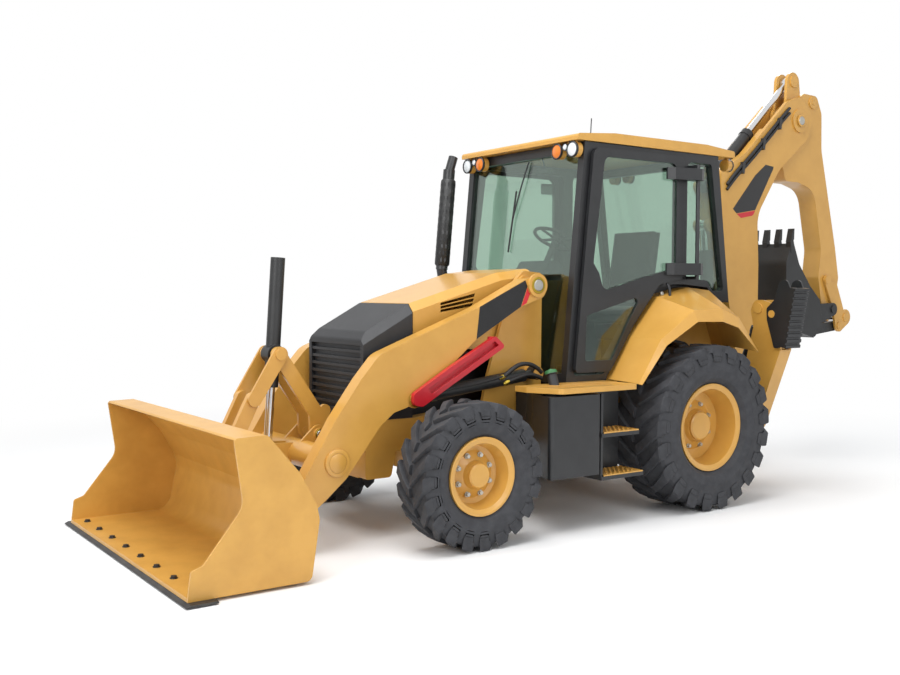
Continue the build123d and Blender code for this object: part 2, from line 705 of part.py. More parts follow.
def loader_bucket():
    half = bucket_half_width
    side = [
        (3415, ground_gap + 12, 40), (3363, 360, 60), (3379, 447), (3484, 640, 100), (3680, 868, 30), (3876, 863, 20),
        (3822, 489, 120), (4052, 203, 30), (4120, 180, 20), (4140, ground_gap + 12),
    ]
    inside = [
        (3440, ground_gap + 34, 120), (3378, 365, 80), (3394, 442), (3497, 630, 120), (3700, 852), (3950, 852),
        (4200, 300), (4200, ground_gap + 34),
    ]
    bucket = slab(side, -half, half) - slab(inside, -half + bucket_wall, half - bucket_wall)
    # Hinge ears either side of each arm, and the link's ears.
    for y in (arm_inner_y - 32, arm_outer_y + working_gap):
        ear = slab([(3250, 205, 40), (3250, 300, 40), (3372, 420), (3395, 60)], y, y + 24)
        bucket += both(ear)
    for y0, y1 in ((arm_inner_y - 36, arm_outer_y + working_gap + 30),):
        bucket += both(pin_y(bucket_hinge, 28, y0, y1))
    ear = slab([(3385, 430), (3392, 700, 40), (3470, 730, 40), (3500, 650)], 108, 130)
    ear += pin_y(bucket_link_pin, 26, 50, 130) + pin_y(bucket_link_pin, 30, 48, 58)
    ear += pin_y(bucket_link_pin, 38, 130, 140)
    bucket += both(ear)
    return bucket


def cutting_edge():
    edge = slab(
        [(3990, ground_gap), (3990, ground_gap + 12), (edge_front_x - 30, ground_gap + 12), (edge_front_x, ground_gap)],
        -edge_half_width, edge_half_width,
    )
    return edge


def tilt_levers():
    lever = link_plate([lever_pivot, (2845, 830), lever_top], [50, 50, 50], 70, 98)
    lever += link_plate([lever_pivot, (2778, 846)], [50, 40], 70, 98)
    lever -= pin_y(lever_pivot, 26 + pin_fit, 40, 140)
    lever -= pin_y(lever_top, 26 + pin_fit, 40, 140)
    brace = block(2740, 2790, -70, 70, 830, 862)
    return both(lever) + brace


def tilt_links():
    link = link_plate([lever_top, (3300, 948)], [52, 46], 104, 124)
    link += link_plate([(3300, 948), bucket_link_pin], [46, 46], 60, 104)
    link += pin_y((3300, 948), 46, 60, 124) + pin_y(lever_top, 38, 124, 132)
    link -= pin_y(bucket_link_pin, 26 + pin_fit, 40, 140)
    return both(link)


def tilt_cylinder():
    """Barrel carried by its trunnions in the levers' top, and its rod."""
    line = Vector(tilt_foot[0] - lever_top[0], tilt_foot[1] - lever_top[1]).normalized()
    above, below = 640, 222
    top = (lever_top[0] - line.X * above, 0, lever_top[1] - line.Y * above)
    gland = (lever_top[0] + line.X * below, 0, lever_top[1] + line.Y * below)
    barrel = bar(top, gland, 48)
    barrel += pin_y(lever_top, 62, -56, 56) + pin_y(lever_top, 26, -101, 101)
    inside = 200
    deep = inside + 420
    start = (gland[0] - line.X * deep, 0, gland[2] - line.Y * deep)
    barrel -= bar(start, (gland[0] + line.X, 0, gland[2] + line.Y), 28 + pin_fit)
    shaft = bar(
        (gland[0] - line.X * inside, 0, gland[2] - line.Y * inside), (tilt_foot[0], 0, tilt_foot[1]), 28
    )
    shaft += pin_y(tilt_foot, 44, -32, 32)
    return barrel, shaft


# ---- Backhoe ----
def swing_frame():
    low, high = swing_lug_heights[0] + 45, swing_lug_heights[1] - 5
    hub = pin_z((swing_axis_x, 0), 95, low, high)
    neck = block(-1600, swing_axis_x, -90, 90, low, high)
    body = hub + neck
    cheek = slab(
        [(-1680, 480, 60), (-1440, 440, 30), (-1440, 700, 10), (-1515, 712, 10), (-1515, 790, 10), (-1400, 800, 30),
         (-1150, 900, 40), (-1140, 1040, 60), (-1240, 1060, 60), (-1420, 940, 60), (-1640, 960, 90), (-1680, 830, 60)],
        boom_half_width + 6, boom_half_width + 40,
    )
    bracket = block(-1600, -1460, 90, boom_half_width + 6, 440, 690)
    side = cheek + bracket
    side += pin_y(boom_foot, 85, boom_half_width + 40, boom_half_width + 52)
    side += pin_y(boom_ram_base, 55, 45, boom_half_width + 6)
    body += both(side)
    body += pin_y(boom_foot, 45, -boom_half_width - 52, boom_half_width + 52)
    body += pin_y(boom_ram_base, 32, -boom_half_width - 48, boom_half_width + 48)
    body -= pin_z((swing_axis_x, 0), 45 + pin_fit, 300, 900)
    return body


def slot_along(start, angle, before, after, below, above, half_width):
    """Cutting block along a direction in the side plane, centred on Y."""
    place = Pos(start[0], 0, start[1]) * Rot(0, -angle, 0)
    body = Box(before + after, 2 * half_width, below + above, align=(Align.MIN, Align.CENTER, Align.MIN))
    return place * Pos(-before, 0, -below) * body


def boom():
    outline = [
        (-1675, 790, 60), (-1600, 720, 80), (-1500, 720, 60), (-1450, 790, 60), (-1270, 1580, 500),
        (-1153, 2450, 200), (-1148, 2732, 60), (-1469, 2905, 200), (-2050, 3430, 60), (-2250, 3500, 120),
        (-2450, 3330, 120), (-2380, 3120, 100), (-1954, 2788, 300), (-1649, 2357, 300), (-1675, 1900, 300),
    ]
    body = slab(outline, -boom_half_width, boom_half_width)
    inner = boom_half_width - boom_plate
    fork = pin_y(stick_pivot, 505, -inner, inner)
    body -= fork
    # Troughs between the side plates for the boom cylinder, as it lies when the boom is down,
    # and for the stick cylinder.
    body -= slot_along((-1467, 463), 78.1, 0, 1900, 300, 72, 74)
    body -= slot_along(stick_ram_base, 147.3, 75, 900, 500, 68, 68)
    lug = link_plate([(-1220, 2480), stick_ram_base], [90, 62], 68, 96)
    body += both(lug + pin_y(stick_ram_base, 40, 96, 106))
    body += pin_y(stick_ram_base, 30, -100, 100)
    lug = link_plate([(-1210, 2210), boom_ram_tip], [90, 58], 45, 80)
    body += both(lug + pin_y(boom_ram_tip, 38, 80, 92))
    body += both(pin_y(stick_pivot, 110, inner, boom_half_width + 14))
    body += pin_y(stick_pivot, 45, -boom_half_width - 24, boom_half_width + 24)
    body -= pin_y(boom_foot, 45 + pin_fit, -400, 400)
    return body


def stick():
    outline = [
        (-2120, 3200, 90), (-2110, 3380, 90), (-2360, 3545, 50), (-2560, 3540, 60), (-2640, 3380, 80),
        (-2650, 3030, 300), (-2899, 2090, 300), (-2960, 1800, 60), (-2895, 1440, 60), (-2760, 1410, 60),
        (-2690, 1560, 60), (-2640, 1800, 60), (-2673, 2065, 200), (-2544, 2639, 200), (-2290, 2700, 60),
        (-2110, 2700, 50), (-2050, 2850, 50), (-2150, 3020, 100),
    ]
    half = stick_half_width
    body = slab(outline, -half, half)
    # Ears for the stick cylinder's rod above the pivot.
    ear = link_plate([stick_pivot, stick_ram_tip], [125, 88], 46, 76)
    body += both(ear)
    body += both(pin_y(stick_ram_tip, 52, 76, 88))
    # Trough for the bucket cylinder along the back.
    body -= slot_along(bucket_ram_base, 257, 0, 2600, 400, 66, 62)
    body -= pin_y(bucket_ram_base, 72, -62, 62)
    body -= link_plate([(-2846, 1931), (-2736, 2262)], [62, 62], -62, 62)
    # Notch that the stick cylinder's eye swings through.
    body -= link_plate([stick_ram_tip, (-2276, 3524), (-2227, 3456), (-2176, 3524)], [64, 64, 64, 64], -46, 46)
    body += pin_y(bucket_ram_base, 26, -half - 14, half + 14)
    body += both(pin_y(bucket_ram_base, 60, half, half + 10))
    body -= pin_y(stick_pivot, 45 + pin_fit, -300, 300)
    body -= pin_y(guide_pivot, 28 + pin_fit, -300, 300)
    body -= pin_y(hoe_hinge, 28 + pin_fit, -300, 300)
    return body


def hoe_bucket():
    half = hoe_half_width
    side = [
        (-1960, 2110, 10), (-1885, 1930, 150), (-1890, 1560, 260), (-2060, 1290, 200), (-2320, 1225, 60),
        (-2440, 1330, 40), (-2400, 1580), (-2242, 1715), (-2075, 1915), (-1995, 2095),
    ]
    inside = [
        (-1975, 2150), (-1902, 1925, 140), (-1907, 1565, 250), (-2068, 1308, 190), (-2318, 1243, 50),
        (-2500, 1310), (-2500, 2150),
    ]
    bucket = slab(side, -half, half) - slab(inside, -half + 14, half - 14)
    # Back sheet between the side plates, up to the ears.
    bucket += slab([(-2430, 1320), (-2400, 1585), (-2385, 1585), (-2415, 1320)], -half, half)
    bucket += slab([(-2430, 1320), (-2310, 1226), (-2310, 1244), (-2415, 1326)], -half, half)
    ear = link_plate([(-2440, 1420), hoe_hinge], [120, 62], ear_inner_y, ear_outer_y)
    ear += link_plate([(-2440, 1420), hoe_link_pin], [100, 52], ear_inner_y, ear_outer_y)
    ear += pin_y(hoe_link_pin, 50, 102, ear_inner_y) + pin_y(hoe_link_pin, 36, ear_outer_y, ear_outer_y + 12)
    ear += pin_y(hoe_hinge, 40, ear_outer_y, ear_outer_y + 12)
    bucket += both(ear)
    bucket += pin_y(hoe_hinge, 28, -ear_outer_y, ear_outer_y)
    bucket += pin_y(hoe_link_pin, 26, -ear_outer_y, ear_outer_y)
    # Teeth in two parts along the lip.
    for index in range(5):
        y = (index - 2) * 133
        adapter = slab([(-1950, 2020), (-1935, 2120), (-1975, 2150), (-1998, 2060)], y - 26, y + 26)
        tip = slab([(-1938, 2118), (-1968, 2240), (-1985, 2240), (-1982, 2140)], y - 30, y + 30)
        bucket += adapter + tip
    return bucket


def bucket_link():
    half = stick_half_width - 6
    link = link_plate([guide_link_pin, hoe_link_pin], [46, 50], -half, half)
    link -= slot_along(guide_link_pin, 0, 80, 140, 80, 80, 30)
    link -= pin_y(hoe_link_pin, 26 + pin_fit, -200, 200)
    return link


def guide_levers():
    y0, y1 = lever_inner_y, lever_outer_y
    waist = (-2876, 1519)
    lever = link_plate([guide_pivot, waist, guide_link_pin, guide_ram_pin], [46, 38, 60, lever_boss], y0, y1)
    lever += slab([guide_pivot, (-2900, 1740), guide_ram_pin, guide_link_pin, waist], y0, y1)
    lever += pin_y(guide_pivot, 28, 64, y1 + 8) + pin_y(guide_pivot, 40, y1, y1 + 8)
    lever += pin_y(guide_ram_pin, 44, y1, y1 + 8) + pin_y(guide_link_pin, 40, y1, y1 + 8)
    levers = both(lever)
    return levers


# ---- Stabilisers ----
def stabilizer_leg():
    outline = [
        (550, 400, 60), (640, 375, 50), (715, 420, 50), (800, 560, 60), (1035, 1190, 100), (1030, 1500, 50),
        (960, 1560, 50), (860, 1590, 50), (770, 1590, 60), (735, 1500, 40), (765, 1370, 40), (620, 800, 60),
        (555, 520, 40),
    ]
    leg = wall(outline, leg_rear_x, leg_rear_x + leg_plate) + wall(outline, leg_front_x - leg_plate, leg_front_x)
    inner = leg_rear_x + leg_plate, leg_front_x - leg_plate
    leg += wall([(800, 560), (1035, 1190), (1015, 1196), (780, 570)], *inner)
    leg += wall([(1030, 1200), (1030, 1480), (1012, 1480), (1012, 1200)], *inner)
    leg += pin_x(leg_pivot, 62, *inner)
    leg -= pin_x(leg_pivot, 30 + pin_fit, -1100, -700)
    leg += pin_x(leg_foot, 30, -1000, -810)
    head = pin_x(leg_top_pin, 42, leg_front_x, leg_front_x + 10) + pin_x(leg_top_pin, 42, leg_rear_x - 10, leg_rear_x)
    return leg + head


def stabilizer_pad():
    cheek = [
        (907, 1522, 30), (913, 1427, 30), (960, 1284, 60), (985, 1200, 20), (1060, 1215), (1139, 1669), (1096, 1765, 40),
        (1030, 1735, 40), (979, 1587, 60),
    ]
    pad = wall(cheek, -831, -815) + wall(cheek, -995, -979)
    pad += wall([(1052, 1215), (1135, 1690), (1182, 1682), (1100, 1206)], -1000, -815)
    # Grooves across the pad's ground face.
    for row in range(10):
        share = 0.07 + row * 0.096
        pad -= pin_x((1100 + 82 * share, 1206 + 476 * share), 11, -1001, -814)
    pad -= pin_x(leg_foot, 30 + pin_fit, -1100, -700)
    return pad


# ---- Assembly ----
def build():
    parts = {}
    parts["main_frame"] = main_frame()
    parts["rear_frame"] = rear_frame()
    front_beam, rear_housing = axles()
    parts["front_axle"] = front_beam
    parts["rear_axle"] = rear_housing
    parts["engine_block"] = engine_block()
    parts["grille"] = grille()
    parts["rear_fenders"] = both(fender())
    parts["running_boards"] = both(running_board())
    parts["side_tanks"] = both(side_tank())
    parts["cab_frame"] = cab_frame() + both(door_post())
    parts["cab_roof"] = cab_roof()
    parts["cab_glass"] = cab_glass()
    parts["operator_seat"] = operator_seat()
    parts["dash_console"] = dash_console()
    parts["exhaust_stack"] = exhaust_stack()
    parts["hood"] = hood()

    rear = wheel(rear_wheel, 0, 70)
    front = wheel(front_wheel, wheelbase, spindle_radius)
    left_door, left_glass, left_knuckle = door(), door_glass(), knuckle()
    leg, pad = stabilizer_leg(), stabilizer_pad()
    stabilizer_ram = ram(
        stabilizer_base, leg_top_pin, (leg_front_x + leg_rear_x) / 2, "x", 44, 24, 800, 400, 84, 24, 80
    )
    lefts = {
        "rear_rim": rear[0], "rear_tyre": rear[1], "front_rim": front[0], "front_tyre": front[1],
        "knuckle": left_knuckle, "door": left_door, "door_glass": left_glass,
        "stabilizer_leg": leg, "stabilizer_pad": pad,
        "stabilizer_barrel": stabilizer_ram[0], "stabilizer_rod": stabilizer_ram[1],
    }
    for name, shape in lefts.items():
        parts[name + "_left"] = shape
        parts[name + "_right"] = mirrored(shape)

    parts["loader_arms"] = loader_arms()
    parts["lift_brace"] = lift_brace()
    parts["loader_bucket"] = loader_bucket()
    parts["cutting_edge"] = cutting_edge()
    parts["tilt_levers"] = tilt_levers()
    parts["tilt_links"] = tilt_links()
    parts["tilt_barrel"], parts["tilt_rod"] = tilt_cylinder()
    lift = ram(lift_base, lift_tip, 510, "y", 46, 27, 930, 800, 72, 28, 105)
    parts["lift_barrels"], parts["lift_rods"] = both(lift[0]), both(lift[1])

    parts["swing_frame"] = swing_frame()
    parts["boom"] = boom()
    parts["stick"] = stick()
    parts["hoe_bucket"] = hoe_bucket()
    parts["bucket_link"] = bucket_link()
    parts["guide_levers"] = guide_levers()
    # Columns: name, base, tip, tube, rod, length, inside, eye width, base pin.
    rams = [
        ("boom", boom_ram_base, boom_ram_tip, 58, 32, 1050, 680, 80, 32),
        ("stick", stick_ram_base, stick_ram_tip, 54, 30, 760, 60, 80, 30),
        ("bucket", bucket_ram_base, guide_ram_pin, 46, 27, 1080, 90, 112, 26),
    ]
    for name, base, tip, tube, rod, length, inside, width, pin in rams:
        parts[name + "_barrel"], parts[name + "_rod"] = ram(
            base, tip, 0, "y", tube, rod, length, inside, width, pin, 95
        )
    return parts


os.makedirs("parts", exist_ok=True)
for name, shape in build().items():
    export_step(Pos(rear_axle_x, 0, 0) * shape, f"parts/{name}.step")
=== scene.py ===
"""Looks of the backhoe loader: finishes, tyres, fittings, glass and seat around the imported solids."""
import math

import bmesh
import bpy
from mathutils import Matrix, Vector


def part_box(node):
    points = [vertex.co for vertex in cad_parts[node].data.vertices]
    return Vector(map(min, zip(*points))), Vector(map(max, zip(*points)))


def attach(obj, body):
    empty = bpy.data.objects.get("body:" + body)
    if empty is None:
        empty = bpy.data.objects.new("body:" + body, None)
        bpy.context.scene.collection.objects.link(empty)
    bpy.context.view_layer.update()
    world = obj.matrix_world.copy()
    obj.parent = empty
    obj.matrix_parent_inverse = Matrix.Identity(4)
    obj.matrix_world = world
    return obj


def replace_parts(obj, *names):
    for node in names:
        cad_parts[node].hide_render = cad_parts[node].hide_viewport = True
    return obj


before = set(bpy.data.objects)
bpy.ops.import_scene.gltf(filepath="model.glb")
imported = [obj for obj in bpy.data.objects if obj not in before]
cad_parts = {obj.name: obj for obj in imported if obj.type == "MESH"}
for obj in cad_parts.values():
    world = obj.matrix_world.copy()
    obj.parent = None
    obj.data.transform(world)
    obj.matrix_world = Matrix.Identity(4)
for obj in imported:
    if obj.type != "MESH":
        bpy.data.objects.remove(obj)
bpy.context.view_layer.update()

# ---- Places ----
# Spots are given in millimetres forward of the rear axle, to the left, and up from the ground.
# Radii, profiles and other lengths are in metres, unless their comment says otherwise.
REAR_AXLE = (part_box("rear_axle")[0].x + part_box("rear_axle")[1].x) / 2
# The machine's two sides, and the way out from its middle on each.
SIDES = (("left", 1), ("right", -1))
UP = (0, 0, 1)


def spot(x, y, z):
    return Vector((x / 1000 + REAR_AXLE, y / 1000, z / 1000))


# ---- Materials ----
def linear(hex_colour):
    """sRGB hex to the linear colour that the shaders use."""
    values = [int(hex_colour[i : i + 2], 16) / 255 for i in (1, 3, 5)]
    return (*[v / 12.92 if v <= 0.04045 else ((v + 0.055) / 1.055) ** 2.4 for v in values], 1)


def add(tree, kind, links=(), values=(), **settings):
    """A node with its settings, socket values, and links from (socket, node, output) rows."""
    made = tree.nodes.new(kind)
    for key, value in settings.items():
        setattr(made, key, value)
    for key, value in values:
        made.inputs[key].default_value = value
    for key, source, output in links:
        tree.links.new(source.outputs[output], made.inputs[key])
    return made


def material(name):
    made = bpy.data.materials.new(name)
    made.use_nodes = True
    made.node_tree.nodes.clear()
    return made, made.node_tree


def finish_surface(tree, shader):
    add(tree, "ShaderNodeOutputMaterial", [("Surface", shader, 0)])


def two_tone(tree, share, colour, shade):
    """A mix of two colours by a share; its colour is output 2."""
    mix = add(tree, "ShaderNodeMix", [("Factor", share, 0)], data_type="RGBA")
    mix.inputs[6].default_value, mix.inputs[7].default_value = linear(colour), linear(shade)
    return mix


# How far the grain swings the roughness either way, and the least roughness left.
GLOSS_SWING, LEAST_ROUGHNESS = 0.07, 0.05
RELIEF_HEIGHT = 0.001


def coated(name, colour, shade, roughness, grain_mm, grain_depth, mottle_mm=180, coat=0.0, edge_mm=2.5, metallic=0.0):
    """A surface of one colour with a slow mottle towards shade, a fine grain in its gloss and relief,
    and edges eased by edge_mm, as sheet and castings have."""
    made, tree = material(name)
    place = add(tree, "ShaderNodeTexCoord")
    mottle = add(tree, "ShaderNodeTexNoise", [("Vector", place, "Object")],
                 [("Scale", 1000 / mottle_mm), ("Detail", 3.0), ("Roughness", 0.55)])
    share = add(tree, "ShaderNodeMapRange", [("Value", mottle, 0)], [("From Min", 0.35), ("From Max", 0.75)])
    mix = two_tone(tree, share, colour, shade)
    grain = add(tree, "ShaderNodeTexNoise", [("Vector", place, "Object")],
                [("Scale", 1000 / grain_mm), ("Detail", 2.0)])
    gloss = add(tree, "ShaderNodeMapRange", [("Value", grain, 0)],
                [("To Min", max(LEAST_ROUGHNESS, roughness - GLOSS_SWING)), ("To Max", roughness + GLOSS_SWING)])
    edges = add(tree, "ShaderNodeBevel", (), [("Radius", edge_mm / 1000)], samples=4)
    relief = add(tree, "ShaderNodeBump", [("Height", grain, 0), ("Normal", edges, 0)],
                 [("Strength", grain_depth), ("Distance", RELIEF_HEIGHT)])
    shader = add(tree, "ShaderNodeBsdfPrincipled",
                 [("Base Color", mix, 2), ("Roughness", gloss, 0), ("Normal", relief, 0)],
                 [("Metallic", metallic), ("Coat Weight", coat), ("Coat Roughness", 0.12)])
    finish_surface(tree, shader)
    return made


# Columns of the finishes below: name, colour, shade, roughness, grain in mm, depth of the grain.
# Two-pack enamel sprayed on steel plate: a little orange peel in a soft gloss.
YELLOW = coated("ochre_enamel_on_steel", "#cd9b48", "#c59341", 0.34, 6, 0.10, coat=0.25)
# The same enamel on the bucket, a shade rougher where earth slides over it.
BUCKET = coated("bucket_enamel_on_steel", "#cb9a48", "#bd8d3f", 0.40, 9, 0.14, coat=0.1)
# Satin black enamel on welded frames and tanks.
BLACK = coated("satin_black_enamel", "#1b1c1e", "#242527", 0.38, 5, 0.12, coat=0.1)
# Black powder coat on cylinder barrels and the digging bucket.
POWDER = coated("black_powder_coat", "#191a1b", "#232425", 0.45, 3, 0.25)
# Injection-moulded black plastic with a fine spark texture, for the nose and trims.
PLASTIC = coated("moulded_black_plastic", "#1f2023", "#292a2d", 0.52, 1.6, 0.30, edge_mm=3.5)
# Dark rubber of the tyres, dusted paler in patches by its mould release.
RUBBER = coated("tyre_rubber", "#2b2c30", "#3a3b3f", 0.72, 4, 0.35, mottle_mm=60, edge_mm=3.0)
# Black rubber of hoses, valves and wiper blades.
HOSE = coated("hose_rubber", "#151517", "#202022", 0.55, 2, 0.2, edge_mm=1.0)
# Red enamel on the lift brace.
RED = coated("signal_red_enamel", "#c3202c", "#b31b27", 0.32, 6, 0.10, coat=0.3)
# Hard chrome on the rods, ground nearly to a mirror.
CHROME = coated("hard_chrome_rod", "#d9dadc", "#cfd0d2", 0.14, 1.2, 0.05, metallic=1.0, edge_mm=1.0)
# Zinc-plated fasteners and pin heads.
ZINC = coated("zinc_plated_steel", "#b9b7b0", "#a3a198", 0.35, 3, 0.15, metallic=1.0, edge_mm=1.0)
# Yellow-passivated zinc on hydraulic fittings.
BRASS = coated("yellow_passivated_fitting", "#b49a3c", "#94823a", 0.38, 3, 0.15, metallic=1.0, edge_mm=0.8)
# Hardened edge steel, dark from rolling, rubbed brighter in patches.
EDGE = coated("rolled_edge_steel", "#2c2c2e", "#4a4947", 0.46, 5, 0.3, mottle_mm=90, metallic=0.6)
# Moulded caps of the two fillers: washer fluid and fuel.
BLUE = coated("blue_moulded_cap", "#2f6fb0", "#2a649f", 0.4, 2, 0.15)
GREEN = coated("green_moulded_cap", "#3d7a4a", "#356c41", 0.45, 2, 0.2)
# Polyurethane decal film, black and red; the black one also darkens the exhaust guard's slots, partly as painted
# shade inside them.
FILM = coated("black_decal_film_and_slot_shade", "#141416", "#1a1a1c", 0.3, 2, 0.03, edge_mm=0.5)
RED_FILM = coated("red_decal_film", "#c8232f", "#be202b", 0.3, 2, 0.03, edge_mm=0.5)
# Clear and amber lenses of the lamps.
LENS = coated("clear_lamp_lens", "#e6eaec", "#cfd5d8", 0.12, 8, 0.25, coat=0.6, edge_mm=1.0)
AMBER = coated("amber_indicator_lens", "#e07a12", "#d06c0c", 0.2, 6, 0.2, coat=0.6, edge_mm=1.0)


def woven(name, colour, shade, thread_mm):
    """Seat cloth: two crossed thread bands, drawn coarse enough to show."""
    made, tree = material(name)
    place = add(tree, "ShaderNodeTexCoord")
    bands = [add(tree, "ShaderNodeTexWave", [("Vector", place, "Object")],
                 [("Scale", 1000 / thread_mm / 6.28), ("Distortion", 0.6)], bands_direction=axis)
             for axis in ("X", "Z")]
    weave = add(tree, "ShaderNodeMath", [(0, bands[0], 1), (1, bands[1], 1)], operation="MULTIPLY")
    mix = two_tone(tree, weave, colour, shade)
    relief = add(tree, "ShaderNodeBump", [("Height", weave, 0)], [("Strength", 0.4), ("Distance", RELIEF_HEIGHT)])
    shader = add(tree, "ShaderNodeBsdfPrincipled", [("Base Color", mix, 2), ("Normal", relief, 0)],
                 [("Roughness", 0.85), ("Sheen Weight", 0.3)])
    finish_surface(tree, shader)
    return made


CLOTH = woven("seat_weave", "#232427", "#35363a", 6)


def tinted_glass():
    """Toughened cab glass with a green tint: mostly clear, mirror-like at a slant."""
    made, tree = material("green_tinted_glass")
    place = add(tree, "ShaderNodeTexCoord")
    ripple = add(tree, "ShaderNodeTexNoise", [("Vector", place, "Object")], [("Scale", 1.2), ("Detail", 1.0)])
    tint = two_tone(tree, ripple, "#e2ece6", "#d9e6de")
    clear = add(tree, "ShaderNodeBsdfTransparent", [("Color", tint, 2)])
    gloss = add(tree, "ShaderNodeBsdfGlossy", (), [("Color", linear("#e4efe9")), ("Roughness", 0.03)])
    slant = add(tree, "ShaderNodeLayerWeight", (), [("Blend", 0.2)])
    share = add(tree, "ShaderNodeMapRange", [("Value", slant, "Facing")], [("To Min", 0.03), ("To Max", 0.7)])
    shader = add(tree, "ShaderNodeMixShader", [(0, share, 0), (1, clear, 0), (2, gloss, 0)])
    finish_surface(tree, shader)
    return made


GLASS = tinted_glass()

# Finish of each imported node.
FINISHES = [
    (YELLOW, "main_frame rear_frame front_axle rear_axle rear_fenders running_boards cab_roof hood loader_arms "
             "tilt_levers tilt_links boom stick guide_levers stabilizer_leg_left stabilizer_leg_right "
             "front_rim_left front_rim_right rear_rim_left rear_rim_right swing_frame"),
    (BUCKET, "loader_bucket"),
    (BLACK, "cab_frame side_tanks door_left door_right knuckle_left knuckle_right engine_block exhaust_stack "
            "stabilizer_pad_left stabilizer_pad_right"),
    (POWDER, "lift_barrels tilt_barrel boom_barrel stick_barrel bucket_barrel stabilizer_barrel_left "
             "stabilizer_barrel_right hoe_bucket bucket_link"),
    (PLASTIC, "grille dash_console"),
    (CHROME, "lift_rods tilt_rod boom_rod stick_rod bucket_rod stabilizer_rod_left stabilizer_rod_right"),
    (RED, "lift_brace"),
    (EDGE, "cutting_edge"),
    (GLASS, "cab_glass door_glass_left door_glass_right"),
    (RUBBER, "front_tyre_left front_tyre_right rear_tyre_left rear_tyre_right"),
    (CLOTH, "operator_seat"),
]
for finish, names in FINISHES:
    for name in names.split():
        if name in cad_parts:
            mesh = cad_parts[name].data
            mesh.materials.clear()
            mesh.materials.append(finish)


# ---- Mesh tools ----
def linked(made):
    """Puts a new object into the scene."""
    bpy.context.scene.collection.objects.link(made)
    return made


def worked_out(made):
    """The plain mesh that an object's curve or modifiers come to."""
    bpy.context.view_layer.update()
    return bpy.data.meshes.new_from_object(made.evaluated_get(bpy.context.evaluated_depsgraph_get()))


def piece(name, shape, finish, body, sharp=35):
    """A finished mesh object on a body, smooth up to the sharp angle, from a mesh or a bmesh."""
    if isinstance(shape, bmesh.types.BMesh):
        bmesh.ops.recalc_face_normals(shape, faces=shape.faces)
        mesh = bpy.data.meshes.new(name)
        shape.to_mesh(mesh)
        shape.free()
    else:
        mesh = shape
    mesh.name = name
    mesh.materials.clear()
    mesh.materials.append(finish)
    mesh.polygons.foreach_set("use_smooth", [True] * len(mesh.polygons))
    mesh.set_sharp_from_angle(angle=math.radians(sharp))
    made = linked(bpy.data.objects.new(name, mesh))
    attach(made, body)
    return made


def ring_faces(bm, rows, closed_rows=False):
    """Joins rows of vertices, each a closed ring of the same count."""
    count = len(rows[0])
    pairs = list(zip(rows, rows[1:])) + ([(rows[-1], rows[0])] if closed_rows else [])
    for low, high in pairs:
        for i in range(count):
            j = (i + 1) % count
            bm.faces.new((low[i], low[j], high[j], high[i]))


def turned(name, profile, centre, along, finish, body, steps=48, caps=False, sharp=35):
    """A piece turned from a profile of (distance along, radius) about an axis through centre."""
    bm = bmesh.new()
    along = Vector(along).normalized()
    side = along.orthogonal().normalized()
    other = along.cross(side)
    rows = []
    for far, radius in profile:
        rows.append([bm.verts.new(centre + along * far + (side * math.cos(2 * math.pi * k / steps)
                    + other * math.sin(2 * math.pi * k / steps)) * max(radius, 1e-4)) for k in range(steps)])
    ring_faces(bm, rows)
    if caps:
        bm.faces.new(rows[0])
        bm.faces.new(rows[-1])
    return piece(name, bm, finish, body, sharp)


def prisms(name, parts, finish, body, sharp=35):
    """A piece of closed prisms, each given as an outline and the offset to its other face."""
    bm = bmesh.new()
    for outline, offset in parts:
        low = [bm.verts.new(p) for p in outline]
        high = [bm.verts.new(p + offset) for p in outline]
        ring_faces(bm, [low, high])
        bm.faces.new(low)
        bm.faces.new(high)
    return piece(name, bm, finish, body, sharp)


def eased(obj, width, segments=2):
    """Rounds an object's sharp edges and keeps the result."""
    bevel = obj.modifiers.new("ease", "BEVEL")
    bevel.width, bevel.segments, bevel.limit_method, bevel.angle_limit = width, segments, "ANGLE", math.radians(40)
    done = worked_out(obj)
    obj.modifiers.clear()
    name, obj.data = obj.data.name, done
    obj.data.name = name
    return obj


def hose(name, points, radius, finish, body):
    """A round tube along a smooth line through points."""
    curve = bpy.data.curves.new(name, "CURVE")
    curve.dimensions, curve.bevel_depth, curve.bevel_resolution, curve.resolution_u = "3D", radius, 3, 8
    line = curve.splines.new("NURBS")
    line.points.add(len(points) - 1)
    for point, place in zip(line.points, points):
        point.co = (*place, 1)
    line.order_u, line.use_endpoint_u = 3, True
    curve.use_fill_caps = True
    made = linked(bpy.data.objects.new(name, curve))
    mesh = worked_out(made)
    bpy.data.objects.remove(made)
    return piece(name, mesh, finish, body, sharp=60)


# ---- Bolts by Geometry Nodes ----
# A washer's radius over its head's radius, its thickness over the head's height, and its sides.
WASHER_RADIUS, WASHER_THICKNESS, WASHER_SIDES = 1.35, 0.5, 20


